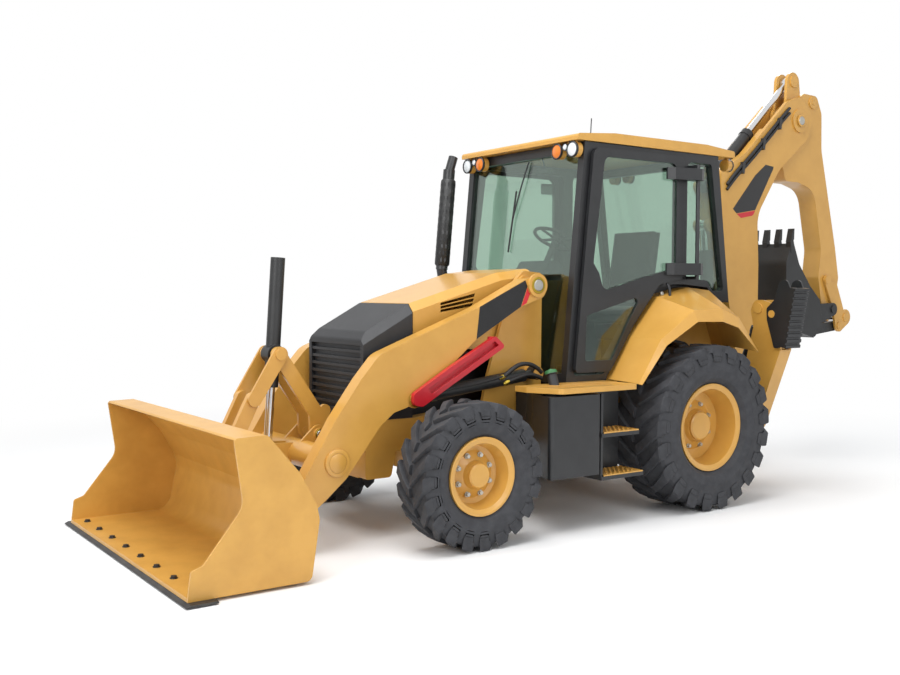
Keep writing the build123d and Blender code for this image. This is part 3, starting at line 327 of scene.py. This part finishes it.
def bolt_tree():
    """A hex head with a washer on each point, facing along a turn."""
    tree = bpy.data.node_groups.new("bolt_heads", "GeometryNodeTree")
    # Columns: socket, kind, default.
    for name, kind, value in (("Geometry", "NodeSocketGeometry", None), ("Head Radius", "NodeSocketFloat", 0.012),
                              ("Head Height", "NodeSocketFloat", 0.01), ("Sides", "NodeSocketInt", 6),
                              ("Turn", "NodeSocketRotation", None), ("Finish", "NodeSocketMaterial", None)):
        made = tree.interface.new_socket(name, in_out="INPUT", socket_type=kind)
        if value is not None:
            made.default_value = value
    tree.interface.new_socket("Geometry", in_out="OUTPUT", socket_type="NodeSocketGeometry")
    given = add(tree, "NodeGroupInput")
    washer = add(tree, "ShaderNodeMath", [(0, given, "Head Radius")], [(1, WASHER_RADIUS)], operation="MULTIPLY")
    thin = add(tree, "ShaderNodeMath", [(0, given, "Head Height")], [(1, WASHER_THICKNESS)], operation="MULTIPLY")
    head = add(tree, "GeometryNodeMeshCylinder", [("Vertices", given, "Sides"), ("Radius", given, "Head Radius"),
               ("Depth", given, "Head Height")])
    lift = add(tree, "ShaderNodeCombineXYZ", [("Z", thin, 0)])
    raised = add(tree, "GeometryNodeTransform", [("Geometry", head, "Mesh"), ("Translation", lift, 0)])
    plate = add(tree, "GeometryNodeMeshCylinder", [("Radius", washer, 0), ("Depth", thin, 0)],
                [("Vertices", WASHER_SIDES)])
    both = add(tree, "GeometryNodeJoinGeometry", [("Geometry", raised, 0), ("Geometry", plate, "Mesh")])
    placed = add(tree, "GeometryNodeInstanceOnPoints", [("Points", given, "Geometry"), ("Instance", both, 0),
                 ("Rotation", given, "Turn")])
    real = add(tree, "GeometryNodeRealizeInstances", [("Geometry", placed, 0)])
    painted = add(tree, "GeometryNodeSetMaterial", [("Geometry", real, 0), ("Material", given, "Finish")])
    add(tree, "NodeGroupOutput", [("Geometry", painted, 0)])
    return tree


BOLTS = bolt_tree()


def bolts(name, points, facing, radius, height, finish, body, head_sides=6):
    """Bolt heads on points, facing one way, as one plain mesh."""
    seed = bpy.data.meshes.new(name)
    seed.from_pydata([tuple(p) for p in points], [], [])
    made = linked(bpy.data.objects.new(name, seed))
    heads = made.modifiers.new("heads", "NODES")
    heads.node_group = BOLTS
    turn = Vector(UP).rotation_difference(Vector(facing)).to_euler()
    given = {"Head Radius": radius, "Head Height": height, "Sides": head_sides, "Turn": turn, "Finish": finish}
    for socket in BOLTS.interface.items_tree:
        if socket.in_out == "INPUT" and socket.name in given:
            heads[socket.identifier] = given[socket.name]
    mesh = worked_out(made)
    bpy.data.objects.remove(made)
    return piece(name, mesh, finish, body, sharp=30)


# ---- Tyres ----
LUG_DEPTH, LUG_EDGE = 0.030, 0.006
CARCASS_STEPS = 96
# A lug's thickness over the pitch, and how far its chevron is swept beyond the stations' leads.
LUG_SHARE, LUG_SWEEP = 0.24, 1.15


def tyre(node, body, lugs):
    """A tyre in its node's place: round carcass with raised sidewall rings and staggered chevron lugs."""
    low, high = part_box(node)
    centre, radius, half = (low + high) / 2, (high.z - low.z) / 2, (high.y - low.y) / 2
    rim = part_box(node.replace("tyre", "rim"))
    seat = (rim[1].z - rim[0].z) / 2 - 0.004
    base = radius - LUG_DEPTH
    bm = bmesh.new()
    # Columns: share of the half width, distance from the axle.
    half_profile = [
        (0.72, seat - 0.022), (0.74, seat + 0.004), (0.83, seat + 0.022), (0.93, seat + 0.045), (0.985, seat + 0.085),
        (0.995, seat + 0.10), (1.0, seat + 0.104), (1.0, seat + 0.114), (0.99, seat + 0.119),
        (0.985, (seat + base) / 2 + 0.03), (0.97, base - 0.06), (0.94, base - 0.022), (0.86, base - 0.004),
        (0.5, base + 0.001), (0.0, base + 0.003),
    ]
    profile = half_profile + [(-a, b) for a, b in half_profile[-2::-1]]
    turns = [2 * math.pi * k / CARCASS_STEPS for k in range(CARCASS_STEPS)]
    rows = []
    for share, far in profile:
        rows.append([bm.verts.new(centre + Vector((far * math.cos(turn), share * half, far * math.sin(turn))))
                     for turn in turns])
    ring_faces(bm, rows, closed_rows=True)
    # Lug stations. Columns: share of the half width, top, lead forward, half thickness, root.
    pitch = 2 * math.pi / lugs
    thick = radius * pitch * LUG_SHARE
    stations = [
        (0.995, base - 0.085, -0.46, 0.85, base - 0.10), (1.0, base - 0.05, -0.46, 0.95, base - 0.07),
        (0.995, radius - 0.012, -0.44, 1.05, base - 0.03), (0.965, radius - 0.003, -0.40, 1.10, base - 0.03),
        (0.70, radius - 0.001, -0.12, 0.92, base - 0.01), (0.45, radius - 0.001, 0.13, 0.85, base - 0.01),
        (0.22, radius - 0.001, 0.33, 0.78, base - 0.01), (0.05, radius - 0.002, 0.46, 0.80, base - 0.01),
    ]
    for index in range(2 * lugs):
        side = 1 if index % 2 else -1
        middle = index * pitch / 2
        rows = []
        for share, top, lead, fat, root in stations:
            # Flanks widen to the root and are chamfered at the top. Columns: distance from the axle, spread.
            flank = [(root, 1.3), (top - LUG_EDGE, 1.06), (top, 0.9)]
            row = []
            for far, spread in [(f, -s) for f, s in flank] + flank[::-1]:
                angle = middle + lead * pitch * LUG_SWEEP + spread * fat * thick / radius
                row.append(bm.verts.new(centre + Vector((far * math.sin(angle), side * share * half,
                                                         far * math.cos(angle)))))
            rows.append(row)
        ring_faces(bm, rows)
        bm.faces.new(rows[0])
        bm.faces.new(rows[-1])
    made = piece(node + "_tread", bm, RUBBER, body, sharp=28)
    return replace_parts(made, node)


FRONT_LUGS, REAR_LUGS = 20, 21
for side, _ in SIDES:
    tyre("front_tyre_" + side, "front_wheel_" + side, FRONT_LUGS)
    tyre("rear_tyre_" + side, "rear_wheel_" + side, REAR_LUGS)


# ---- Wheel fittings ----
# How far out the hub and the disc stand from a wheel's middle plane.
HUB_FACE, DISC_FACE = 0.075, 0.012
NUT_COUNT, NUT_RADIUS, NUT_HEIGHT = 8, 0.014, 0.022
# Columns: axle, half tread in millimetres, hub radius.
WHEELS = (("front", 947.5, 0.095), ("rear", 857, 0.130))


def wheel_fittings(axle, half_tread, hub, side, out):
    """Nuts, hub cap and valve on a wheel's outer face."""
    node, body = f"{axle}_rim_{side}", f"{axle}_wheel_{side}"
    low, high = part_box(node)
    centre = (low + high) / 2
    wheel_y = spot(0, half_tread, 0).y * out
    disc_y = wheel_y + out * DISC_FACE
    outward = (0, out, 0)
    hub_end = Vector((centre.x, wheel_y + out * (HUB_FACE - 0.002), centre.z))
    turned(f"hub_cap_{axle}_{side}", [(0, hub * 0.86), (0.020, hub * 0.84), (0.028, hub * 0.76), (0.030, 0.0)],
           hub_end, outward, YELLOW, body)
    nut_ring = hub + 0.038
    turns = [math.radians(360 / NUT_COUNT * k + 22) for k in range(NUT_COUNT)]
    nuts = [Vector((centre.x + nut_ring * math.cos(turn), disc_y + out * 0.014,
                    centre.z + nut_ring * math.sin(turn))) for turn in turns]
    bolts(f"wheel_nuts_{axle}_{side}", nuts, outward, NUT_RADIUS, NUT_HEIGHT, ZINC, body)
    valve_ring = nut_ring + 0.045
    valve = Vector((centre.x + valve_ring * 0.94, disc_y, centre.z + valve_ring * 0.34))
    turned(f"valve_{axle}_{side}", [(-0.01, 0.005), (0.03, 0.005), (0.032, 0.004), (0.045, 0.004)],
           valve, outward, HOSE, body, steps=12, caps=True)


for axle, half_tread, hub in WHEELS:
    for side, out in SIDES:
        wheel_fittings(axle, half_tread, hub, side, out)


# ---- Decals, bare of words ----
# Thickness of the film, and where the side faces it stands on lie, all in millimetres.
FILM_THICKNESS, ARM_FACE, BOOM_FACE = 0.7, 570.2, 140.2
# Columns: name, body, side face y, film, outline as x, z rows.
DECALS = [
    ("arm_film", "loader_arms", ARM_FACE, FILM,
     [(1828, 1547), (1425, 1733), (1405, 1689), (1465, 1545), (1855, 1324)]),
    ("arm_flash", "loader_arms", ARM_FACE, RED_FILM, [(1401, 1689), (1376, 1644), (1413, 1570), (1461, 1547)]),
    ("boom_film", "boom", BOOM_FACE, FILM, [(-1756, 2824), (-1869, 2812), (-1862, 2789), (-1616, 2402),
                                            (-1359, 2361), (-1310, 2399), (-1610, 2717)]),
    ("boom_flash", "boom", BOOM_FACE, RED_FILM, [(-1362, 2357), (-1617, 2398), (-1596, 2362), (-1573, 2348),
                                                 (-1421, 2321)]),
]
for side, out in SIDES:
    for name, body, face, film, outline in DECALS:
        offset = Vector((0, out * FILM_THICKNESS / 1000, 0))
        prisms(f"{name}_{side}", [([spot(x, out * face, z) for x, z in outline], offset)], film, body, sharp=30)

# ---- Bucket bolts ----
# Plough bolts through the bucket's lip hold the edge below it. Places in millimetres.
LIP_X, LIP_TOP, LIP_BOLTS, LIP_PITCH = 4062, 42, 8, 285
lip_row = [spot(LIP_X, (k - (LIP_BOLTS - 1) / 2) * LIP_PITCH, LIP_TOP + 1) for k in range(LIP_BOLTS)]
bolts("edge_bolts", lip_row, UP, 0.017, 0.014, POWDER, "loader_bucket", head_sides=20)

# ---- Step treads ----
# Folded yellow plates with a raised rim, on the two steps of each side. Columns: tier, rear x, front x, top z.
STEPS = (("upper", 769, 1110, 668), ("lower", 723, 1110, 368))
TREAD_IN, TREAD_OUT = 822, 1056
# Heights of the plate and of its rim over the step, width of the rim, and drop of the outer lip, in millimetres.
PLATE, RIM, RIM_WIDTH, LIP_DROP = 5, 9, 8, 26
# Studs on a plate: how many along and across, their pitches, and the first one's places, in millimetres.
STUD_COLUMNS, STUD_ROWS, PITCH_ALONG, PITCH_ACROSS, STUD_BACK, STUD_IN = 7, 4, 42, 50, 55, 850
for tier, rear, front_x, top in STEPS:
    rear_x = rear + 4
    for side, out in SIDES:
        # Plate, outer lip, rear rim and front rim. Columns: x0, x1, y0, y1, z0, z1.
        folds = ((rear_x, front_x, TREAD_IN, TREAD_OUT, top, top + PLATE),
                 (rear_x, front_x, TREAD_OUT - 6, TREAD_OUT + 3, top - LIP_DROP, top + RIM),
                 (rear_x, rear_x + RIM_WIDTH, TREAD_IN, TREAD_OUT, top, top + RIM),
                 (front_x - RIM_WIDTH, front_x, TREAD_IN, TREAD_OUT, top, top + RIM))
        parts = [([spot(x, out * y, z0) for x, y in ((x0, y0), (x1, y0), (x1, y1), (x0, y1))],
                  Vector((0, 0, (z1 - z0) / 1000))) for x0, x1, y0, y1, z0, z1 in folds]
        prisms(f"step_tread_{tier}_{side}", parts, YELLOW, "chassis", sharp=30)
        studs = [spot(rear + STUD_BACK + PITCH_ALONG * column, out * (STUD_IN + PITCH_ACROSS * row), top + PLATE)
                 for row in range(STUD_ROWS) for column in range(STUD_COLUMNS)]
        bolts(f"step_studs_{tier}_{side}", studs, UP, 0.009, 0.007, YELLOW, "chassis", head_sides=10)


# ---- Roof lamps ----
def lamp(name, x, y, z, radius, facing, lens):
    """A round lens of a radius in millimetres, and the bezel ring and bowl around it."""
    r = radius / 1000
    turned(name, [(0, r * 0.86), (0.004, r * 0.85), (0.010, r * 0.6), (0.012, 0.0)], spot(x, y, z),
           (facing, 0, 0), lens, "chassis")
    turned(name + "_bezel", [(-0.01, r * 1.03), (0.006, r * 1.05), (0.010, r * 0.98), (0.007, r * 0.87),
                             (-0.004, r * 0.84)], spot(x, y, z), (facing, 0, 0), BLACK, "chassis")


LAMP_Z, FRONT_LAMP_X, REAR_LAMP_X = 2682, 1058, -640
FRONT_RADIUS, REAR_RADIUS, DRIVING_RADIUS = 56, 48, 26
# Columns: name, y, front lens.
for tag, y, front_lens in (("outer_left", 645, LENS), ("inner_left", 475, AMBER), ("inner_right", -475, AMBER),
                           ("outer_right", -645, LENS)):
    lamp("front_lamp_" + tag, FRONT_LAMP_X, y, LAMP_Z, FRONT_RADIUS, 1, front_lens)
    lamp("rear_lamp_" + tag, REAR_LAMP_X, y, LAMP_Z, REAR_RADIUS, -1, LENS)
for side, out in SIDES:
    lamp("driving_lamp_" + side, FRONT_LAMP_X - 8, out * 560, LAMP_Z + 24, DRIVING_RADIUS, 1, LENS)

# ---- Pins and their rings ----
# Domed pin heads in plated rings on the side faces.
# Columns: name, x, z, side face y, radius in millimetres, body, finish, ring.
PINS = [
    ("arm_pivot_pin", 1321, 1698, 590, 42, "chassis", ZINC, BRASS),
    ("lift_tip_pin", 2361, 936, 584, 36, "loader_arms", ZINC, BRASS),
    ("cross_tube_cap", 2945, 566, 578, 62, "loader_arms", YELLOW, YELLOW),
    ("bucket_hinge_pin", 3290, 255, 578, 34, "loader_arms", ZINC, BRASS),
    ("lever_pivot_pin", 2840, 693, 138, 24, "loader_arms", ZINC, BRASS),
    ("stick_pivot_pin", -2241, 3268, 164, 40, "boom", ZINC, YELLOW),
    ("boom_foot_pin", -1560, 830, 192, 40, "swing_frame", ZINC, YELLOW),
]
for name, x, z, face, radius, body, finish, ring in PINS:
    r = radius / 1000
    for side, out in SIDES:
        middle, outward = spot(x, out * face, z), (0, out, 0)
        turned(f"{name}_{side}", [(-0.002, r * 1.0), (0.005, r * 1.0), (0.009, r * 0.88), (0.010, 0.0)],
               middle, outward, finish, body)
        turned(f"{name}_{side}_ring", [(-0.002, r * 1.42), (0.004, r * 1.42), (0.006, r * 1.36), (0.006, r * 1.02),
                                       (-0.002, r * 1.02)], middle, outward, ring, body)

# ---- Lines of the loader's hydraulics ----
# Steel line from each lift barrel's rod end back to its port, two elbows at its base, and two hoses on from them.
# Where they lie out from the middle, in millimetres, and the radii of line and hose.
LINE_Y, FITTING_Y, HOSE_Y = 566, 548, 560
LINE_RADIUS, LIFT_HOSE_RADIUS = 0.008, 0.016
for side, out in SIDES:
    hose(f"lift_line_{side}", [spot(x, out * LINE_Y, z) for x, z in
         ((2130, 980), (2060, 992), (1860, 1012), (1700, 1040), (1600, 1060))], LINE_RADIUS, HOSE, "lift_barrels")
    for tag, x, z in (("upper", 1638, 1040), ("lower", 1600, 1000)):
        turned(f"lift_fitting_{tag}_{side}",
               [(0, 0.015), (0.012, 0.015), (0.013, 0.020), (0.034, 0.020), (0.036, 0.014), (0.05, 0.013)],
               spot(x, out * FITTING_Y, z), (-0.8, 0.25 * out, 0.35), BRASS, "lift_barrels", steps=18, caps=True)
    # Columns: name, x, z, rise of the hose's middle.
    for tag, x, z, bow in (("upper", 1600, 1057, 26), ("lower", 1562, 1017, -14)):
        hose(f"lift_hose_{tag}_{side}", [spot(a, out * HOSE_Y, c) for a, c in
             ((x, z), (x - 90, z + 40 + bow), (x - 190, z + 60 + bow), (x - 290, z + 30 + bow), (1262, z + 10))],
             LIFT_HOSE_RADIUS, HOSE, "lift_barrels")


# ---- Guard of the exhaust ----
GUARD_RADIUS, GUARD_EDGE = 0.060, 0.012
SLOT_ROWS, SLOTS_ROUND, SLOT_POINTS = 12, 12, 10
# Half length and half width of a slot, how far out its dark face lies, and its thickness.
SLOT_LONG, SLOT_WIDE, SLOT_OUT, SLOT_THICK = 0.019, 0.0075, 0.0598, 0.0008
# Bare length left at either end of the sleeve.
GUARD_BARE = 0.045


def exhaust_guard(foot, top):
    """A black sleeve around the upper stack, open at its lower edge, with rows of round-ended slots painted on as
    dark patches: partly the black stack behind, partly painted shade.
    """
    along = (top - foot).normalized()
    far = (top - foot).length
    side = along.orthogonal().normalized()
    other = along.cross(side)
    end = GUARD_RADIUS - 0.009
    turned("exhaust_guard", [(0, end), (GUARD_EDGE, GUARD_RADIUS), (far - GUARD_EDGE, GUARD_RADIUS), (far, end)],
           foot, along, POWDER, "chassis", steps=40, sharp=50)
    slots = []
    for row in range(SLOT_ROWS):
        for k in range(SLOTS_ROUND):
            turn = 2 * math.pi * (k + 0.5 * (row % 2)) / SLOTS_ROUND
            face = side * math.cos(turn) + other * math.sin(turn)
            across = along.cross(face)
            middle = foot + along * (GUARD_BARE + row * (far - 2 * GUARD_BARE) / (SLOT_ROWS - 1)) + face * SLOT_OUT
            turns = [2 * math.pi * j / SLOT_POINTS for j in range(SLOT_POINTS)]
            ring = [middle + along * (SLOT_LONG * math.sin(a)) + across * (SLOT_WIDE * math.cos(a)) for a in turns]
            slots.append((ring, face * SLOT_THICK))
    # The slots are dark film patches, not holes: their dark is partly the black stack behind them and partly painted
    # shade inside the sleeve.
    prisms("exhaust_guard_slots", slots, FILM, "chassis", sharp=30)


exhaust_guard(spot(1315.3, -640, 1860), spot(1252, -640, 2560))

# ---- Filler caps on the tanks ----
NECK_LEAN = (0.02, -0.35, 1)
turned("filler_neck", [(0, 0.036), (0.115, 0.036), (0.118, 0.046), (0.122, 0.046)], spot(1335, 800, 960), NECK_LEAN,
       PLASTIC, "chassis", steps=32, caps=True)
for name, finish, middle, radius, along in (("fuel_cap", GREEN, spot(1337, 757, 1075), 0.044, NECK_LEAN),
                                            ("wash_cap", BLUE, spot(1440, 985, 958), 0.036, UP)):
    turned(name, [(0, radius), (0.018, radius), (0.024, radius * 0.9), (0.024, 0.014), (0.034, 0.012), (0.036, 0.0)],
           middle, along, finish, "chassis", steps=32)

# ---- Cab fittings ----
RAIL_X = 150
for side, out in SIDES:
    # Upright pull handle behind the door's front pillar, on two stand-offs.
    rail = [spot(RAIL_X, out * y, z) for y, z in
            ((724, 1330), (756, 1345), (758, 1480), (758, 1600), (756, 1700), (724, 1715))]
    hose(f"door_rail_{side}", rail, 0.011, PLASTIC, f"door_{side}")
    turned(f"door_button_{side}", [(0, 0.017), (0.010, 0.017), (0.013, 0.013), (0.013, 0.0)],
           spot(205, out * 722, 1640), (0, out, 0), ZINC, f"door_{side}")


def wiper(name, foot, tip, half_blade):
    """A bowed arm and its blade, lying along the raked windscreen."""
    arm = [foot, foot.lerp(tip, 0.5) + Vector((0.016, 0, 0)), tip]
    hose(name + "_arm", arm, 0.006, PLASTIC, "chassis")
    along = Vector((-0.088, 0.10, 1)).normalized()
    hose(name + "_blade", [tip - along * half_blade, tip, tip + along * half_blade], 0.007, HOSE, "chassis")


def screen_x(z):
    """Where the raked windscreen stands at a height, in front of its glass."""
    foot_x, foot_z, top_z, rake, inset, clear = 1150, 985, 2740, 165, 26, 14
    return foot_x - rake * (z - foot_z) / (top_z - foot_z) - inset + clear


wiper("screen_wiper", spot(screen_x(2655), 60, 2655), spot(screen_x(2200), -90, 2200), 0.24)

# Interior mirror under the roof's front edge, and the radio's aerial on the roof.
mirror_face = [spot(900, y, z) for y, z in ((60, 2560), (70, 2600), (250, 2600), (260, 2560))]
eased(prisms("cab_mirror", [(mirror_face, Vector((0.02, 0, 0)))], PLASTIC, "chassis"), 0.006)
hose("cab_mirror_stem", [spot(905, 160, 2595), spot(915, 160, 2640), spot(940, 160, 2690)], 0.007, PLASTIC, "chassis")
hose("roof_aerial", [spot(840, 600, 2780), spot(838, 600, 2860), spot(832, 600, 2930)], 0.004, HOSE, "chassis")

# ---- Bolts of the hood's lower edge ----
HOOD_SIDE, HOOD_BOLT_Z = 380.2, 1215
for side, out in SIDES:
    row = [spot(x, out * HOOD_SIDE, HOOD_BOLT_Z) for x in (1320, 1560, 1800, 2040)]
    bolts(f"hood_bolts_{side}", row, (0, out, 0), 0.009, 0.006, POWDER, "hood")

# ---- Hoses of the digging arm ----
# Two hoses run up outside each boom plate, held by three clamps.
# Drop of the lower hose below the upper, and the clamps' inner face, in millimetres.
HOSE_DROP, CLAMP_IN = 46, 139
CLAMP_THICK, STICK_HOSE_RADIUS, FOOT_HOSE_RADIUS = 0.034, 0.014, 0.015
for side, out in SIDES:
    for tag, drop in (("upper", 0), ("lower", HOSE_DROP)):
        hose(f"stick_hose_{tag}_{side}", [spot(x, out * y, z - drop) for x, z, y in
             ((-1215, 2610, 150), (-1320, 2725, 154), (-1510, 2870, 154), (-1800, 3130, 154), (-2010, 3320, 154),
              (-2080, 3370, 148))], STICK_HOSE_RADIUS, HOSE, "boom")
    for x, z in ((-1420, 2788), (-1700, 3024), (-1930, 3230)):
        strap = [spot(x + a, out * CLAMP_IN, z + c) for a, c in ((-16, 22), (16, 34), (30, -60), (-2, -72))]
        prisms(f"hose_clamp_{-x}_{side}", [(strap, Vector((0, out * CLAMP_THICK, 0)))], BLACK, "boom", sharp=30)
    hose(f"foot_hose_{side}", [spot(x, out * y, z) for x, z, y in
         ((-1000, 700, 150), (-1120, 760, 170), (-1250, 850, 165), (-1300, 1020, 160), (-1260, 1180, 150))],
         FOOT_HOSE_RADIUS, HOSE, "swing_frame")


# ---- Seat ----
# Shares of the pad's half height and half width: drop of the crown at its rim, depth of a sewn channel,
# pull of the sides between the faces, and rounding towards the faces.
CROWN_DROP, CHANNEL_DEPTH, SIDE_PULL, FACE_ROUND = 0.35, 0.06, 0.05, 0.04
SEAT_CHANNELS = 3


def cushion(name, low, high, lean=0.0):
    """A crowned pad between two corners, its sides pulled in, with sewn channels across."""
    bm = bmesh.new()
    bmesh.ops.create_cube(bm, size=2)
    bmesh.ops.subdivide_edges(bm, edges=bm.edges, cuts=15, use_grid_fill=True)
    middle, half = (low + high) / 2, (high - low) / 2
    for v in bm.verts:
        x, y, z = v.co
        edge = max(abs(x) ** 6, abs(y) ** 6)
        crown = 1 - CROWN_DROP * max(abs(x), abs(y)) ** 3
        sew = 1 - CHANNEL_DEPTH * max(0, 1 - abs(math.sin(y * SEAT_CHANNELS * math.pi / 2)) * 6)
        pull = 1 - SIDE_PULL * (1 - abs(z)) * edge
        rounding = 1 - FACE_ROUND * z * z
        v.co = Vector((middle.x + x * half.x * pull * rounding, middle.y + y * half.y * pull * rounding,
                       middle.z + z * half.z * crown * sew))
    if lean:
        turn = Matrix.Translation(middle) @ Matrix.Rotation(lean, 4, "Y") @ Matrix.Translation(-middle)
        bmesh.ops.transform(bm, matrix=turn, verts=bm.verts)
    return piece(name, bm, CLOTH, "chassis", sharp=80)


pad_piece = cushion("seat_cushion", spot(-330, -240, 1385), spot(140, 240, 1535))
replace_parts(pad_piece, "operator_seat")
back = cushion("seat_back", spot(-515, -235, 1795), spot(95, 235, 1925), lean=math.radians(-99))
# Moulded pan under the cushion, and the pedestal below it.
pan = [spot(x, -190, z) for x, z in ((60, 1390), (-330, 1390), (-300, 1250), (30, 1250))]
pedestal = [spot(x, -140, z) for x, z in ((10, 1252), (-280, 1252), (-300, 1011), (30, 1011))]
seat_base = [(pan, Vector((0, 0.38, 0))), (pedestal, Vector((0, 0.28, 0)))]
eased(prisms("seat_base", seat_base, PLASTIC, "chassis"), 0.012)

# ---- Stage, lights and camera ----
FLOOR_HALF = 60
# Distances from the machine between which the floor runs out into the white of the backdrop.
FADE_NEAR, FADE_FAR = 3.6, 8.0
WHITE = (1, 1, 1, 1)

bm = bmesh.new()
bm.faces.new([bm.verts.new((x * FLOOR_HALF, y * FLOOR_HALF, 0)) for x, y in ((-1, -1), (1, -1), (1, 1), (-1, 1))])
floor_mesh = bpy.data.meshes.new("floor")
bm.to_mesh(floor_mesh)
bm.free()
floor = linked(bpy.data.objects.new("floor", floor_mesh))


def studio_floor():
    """A matt pale floor that the camera sees fade to white far away."""
    made, tree = material("pale_studio_floor")
    place = add(tree, "ShaderNodeTexCoord")
    tone = add(tree, "ShaderNodeTexNoise", [("Vector", place, "Object")], [("Scale", 0.6)])
    rough = add(tree, "ShaderNodeMapRange", [("Value", tone, 0)], [("To Min", 0.55), ("To Max", 0.6)])
    matt = add(tree, "ShaderNodeBsdfPrincipled", [("Roughness", rough, 0)], [("Base Color", linear("#f4f4f4"))])
    white = add(tree, "ShaderNodeEmission", (), [("Color", WHITE), ("Strength", 1.0)])
    away = add(tree, "ShaderNodeVectorMath", [(0, place, "Object")], operation="LENGTH")
    fade = add(tree, "ShaderNodeMapRange", [("Value", away, "Value")],
               [("From Min", FADE_NEAR), ("From Max", FADE_FAR)], interpolation_type="SMOOTHSTEP")
    path = add(tree, "ShaderNodeLightPath")
    share = add(tree, "ShaderNodeMath", [(0, fade, 0), (1, path, "Is Camera Ray")], operation="MULTIPLY")
    finish_surface(tree, add(tree, "ShaderNodeMixShader", [(0, share, 0), (1, matt, 0), (2, white, 0)]))
    return made


floor_mesh.materials.append(studio_floor())


def studio_world():
    """Soft light from all round; white wherever it is seen, straight, mirrored or through glass."""
    made = bpy.data.worlds.new("studio")
    made.use_nodes = True
    tree = made.node_tree
    tree.nodes.clear()
    path = add(tree, "ShaderNodeLightPath")
    direct = add(tree, "ShaderNodeMath", [(0, path, "Is Camera Ray"), (1, path, "Is Transmission Ray")],
                 operation="MAXIMUM")
    seen = add(tree, "ShaderNodeMath", [(0, direct, 0), (1, path, "Is Glossy Ray")], operation="MAXIMUM")
    ambient = add(tree, "ShaderNodeBackground", (), [("Color", linear("#f2f5f8")), ("Strength", 0.55)])
    white = add(tree, "ShaderNodeBackground", (), [("Color", WHITE), ("Strength", 1.0)])
    blend = add(tree, "ShaderNodeMixShader", [(0, seen, 0), (1, ambient, 0), (2, white, 0)])
    add(tree, "ShaderNodeOutputWorld", [("Surface", blend, 0)])
    return made


scene = bpy.context.scene
scene.world = studio_world()

# Square area lamps. Columns: name, place, aim, side of the square, power.
SOFTBOXES = [
    ("key_overhead", (3.5, 1.5, 9.0), (0.2, 0, 1.0), 6.0, 700),
    ("front_fill", (9.0, 3.0, 4.5), (0.5, 0, 1.2), 4.0, 260),
    ("side_fill", (1.0, 10.0, 5.0), (0, 0, 1.2), 5.0, 260),
    ("back_rim", (-7.0, -5.0, 7.0), (0, 0, 1.5), 4.0, 260),
]
for name, place, aim, size, power in SOFTBOXES:
    light = bpy.data.lights.new(name, "AREA")
    light.shape, light.size, light.energy = "SQUARE", size, power
    softbox = linked(bpy.data.objects.new(name, light))
    softbox.location = place
    softbox.rotation_euler = (Vector(aim) - Vector(place)).to_track_quat("-Z", "Y").to_euler()

SENSOR_WIDTH, LENS_LENGTH = 36, 41.0
EYE = spot(6049.7, 6253.1, 1655.0)
YAW, PITCH, ROLL = (math.radians(a) for a in (-124.947, -2.593, 0.171))
camera_data = bpy.data.cameras.new("camera")
camera_data.sensor_width, camera_data.lens, camera_data.clip_end = SENSOR_WIDTH, LENS_LENGTH, 300
camera = linked(bpy.data.objects.new("camera", camera_data))
scene.camera = camera
look = Vector((math.cos(PITCH) * math.cos(YAW), math.cos(PITCH) * math.sin(YAW), math.sin(PITCH)))
right = look.cross(Vector(UP)).normalized()
turn = Matrix((right, right.cross(look), -look)).transposed() @ Matrix.Rotation(ROLL, 3, "Z")
camera.matrix_world = Matrix.Translation(EYE) @ turn.to_4x4()

scene.view_settings.view_transform = "Standard"
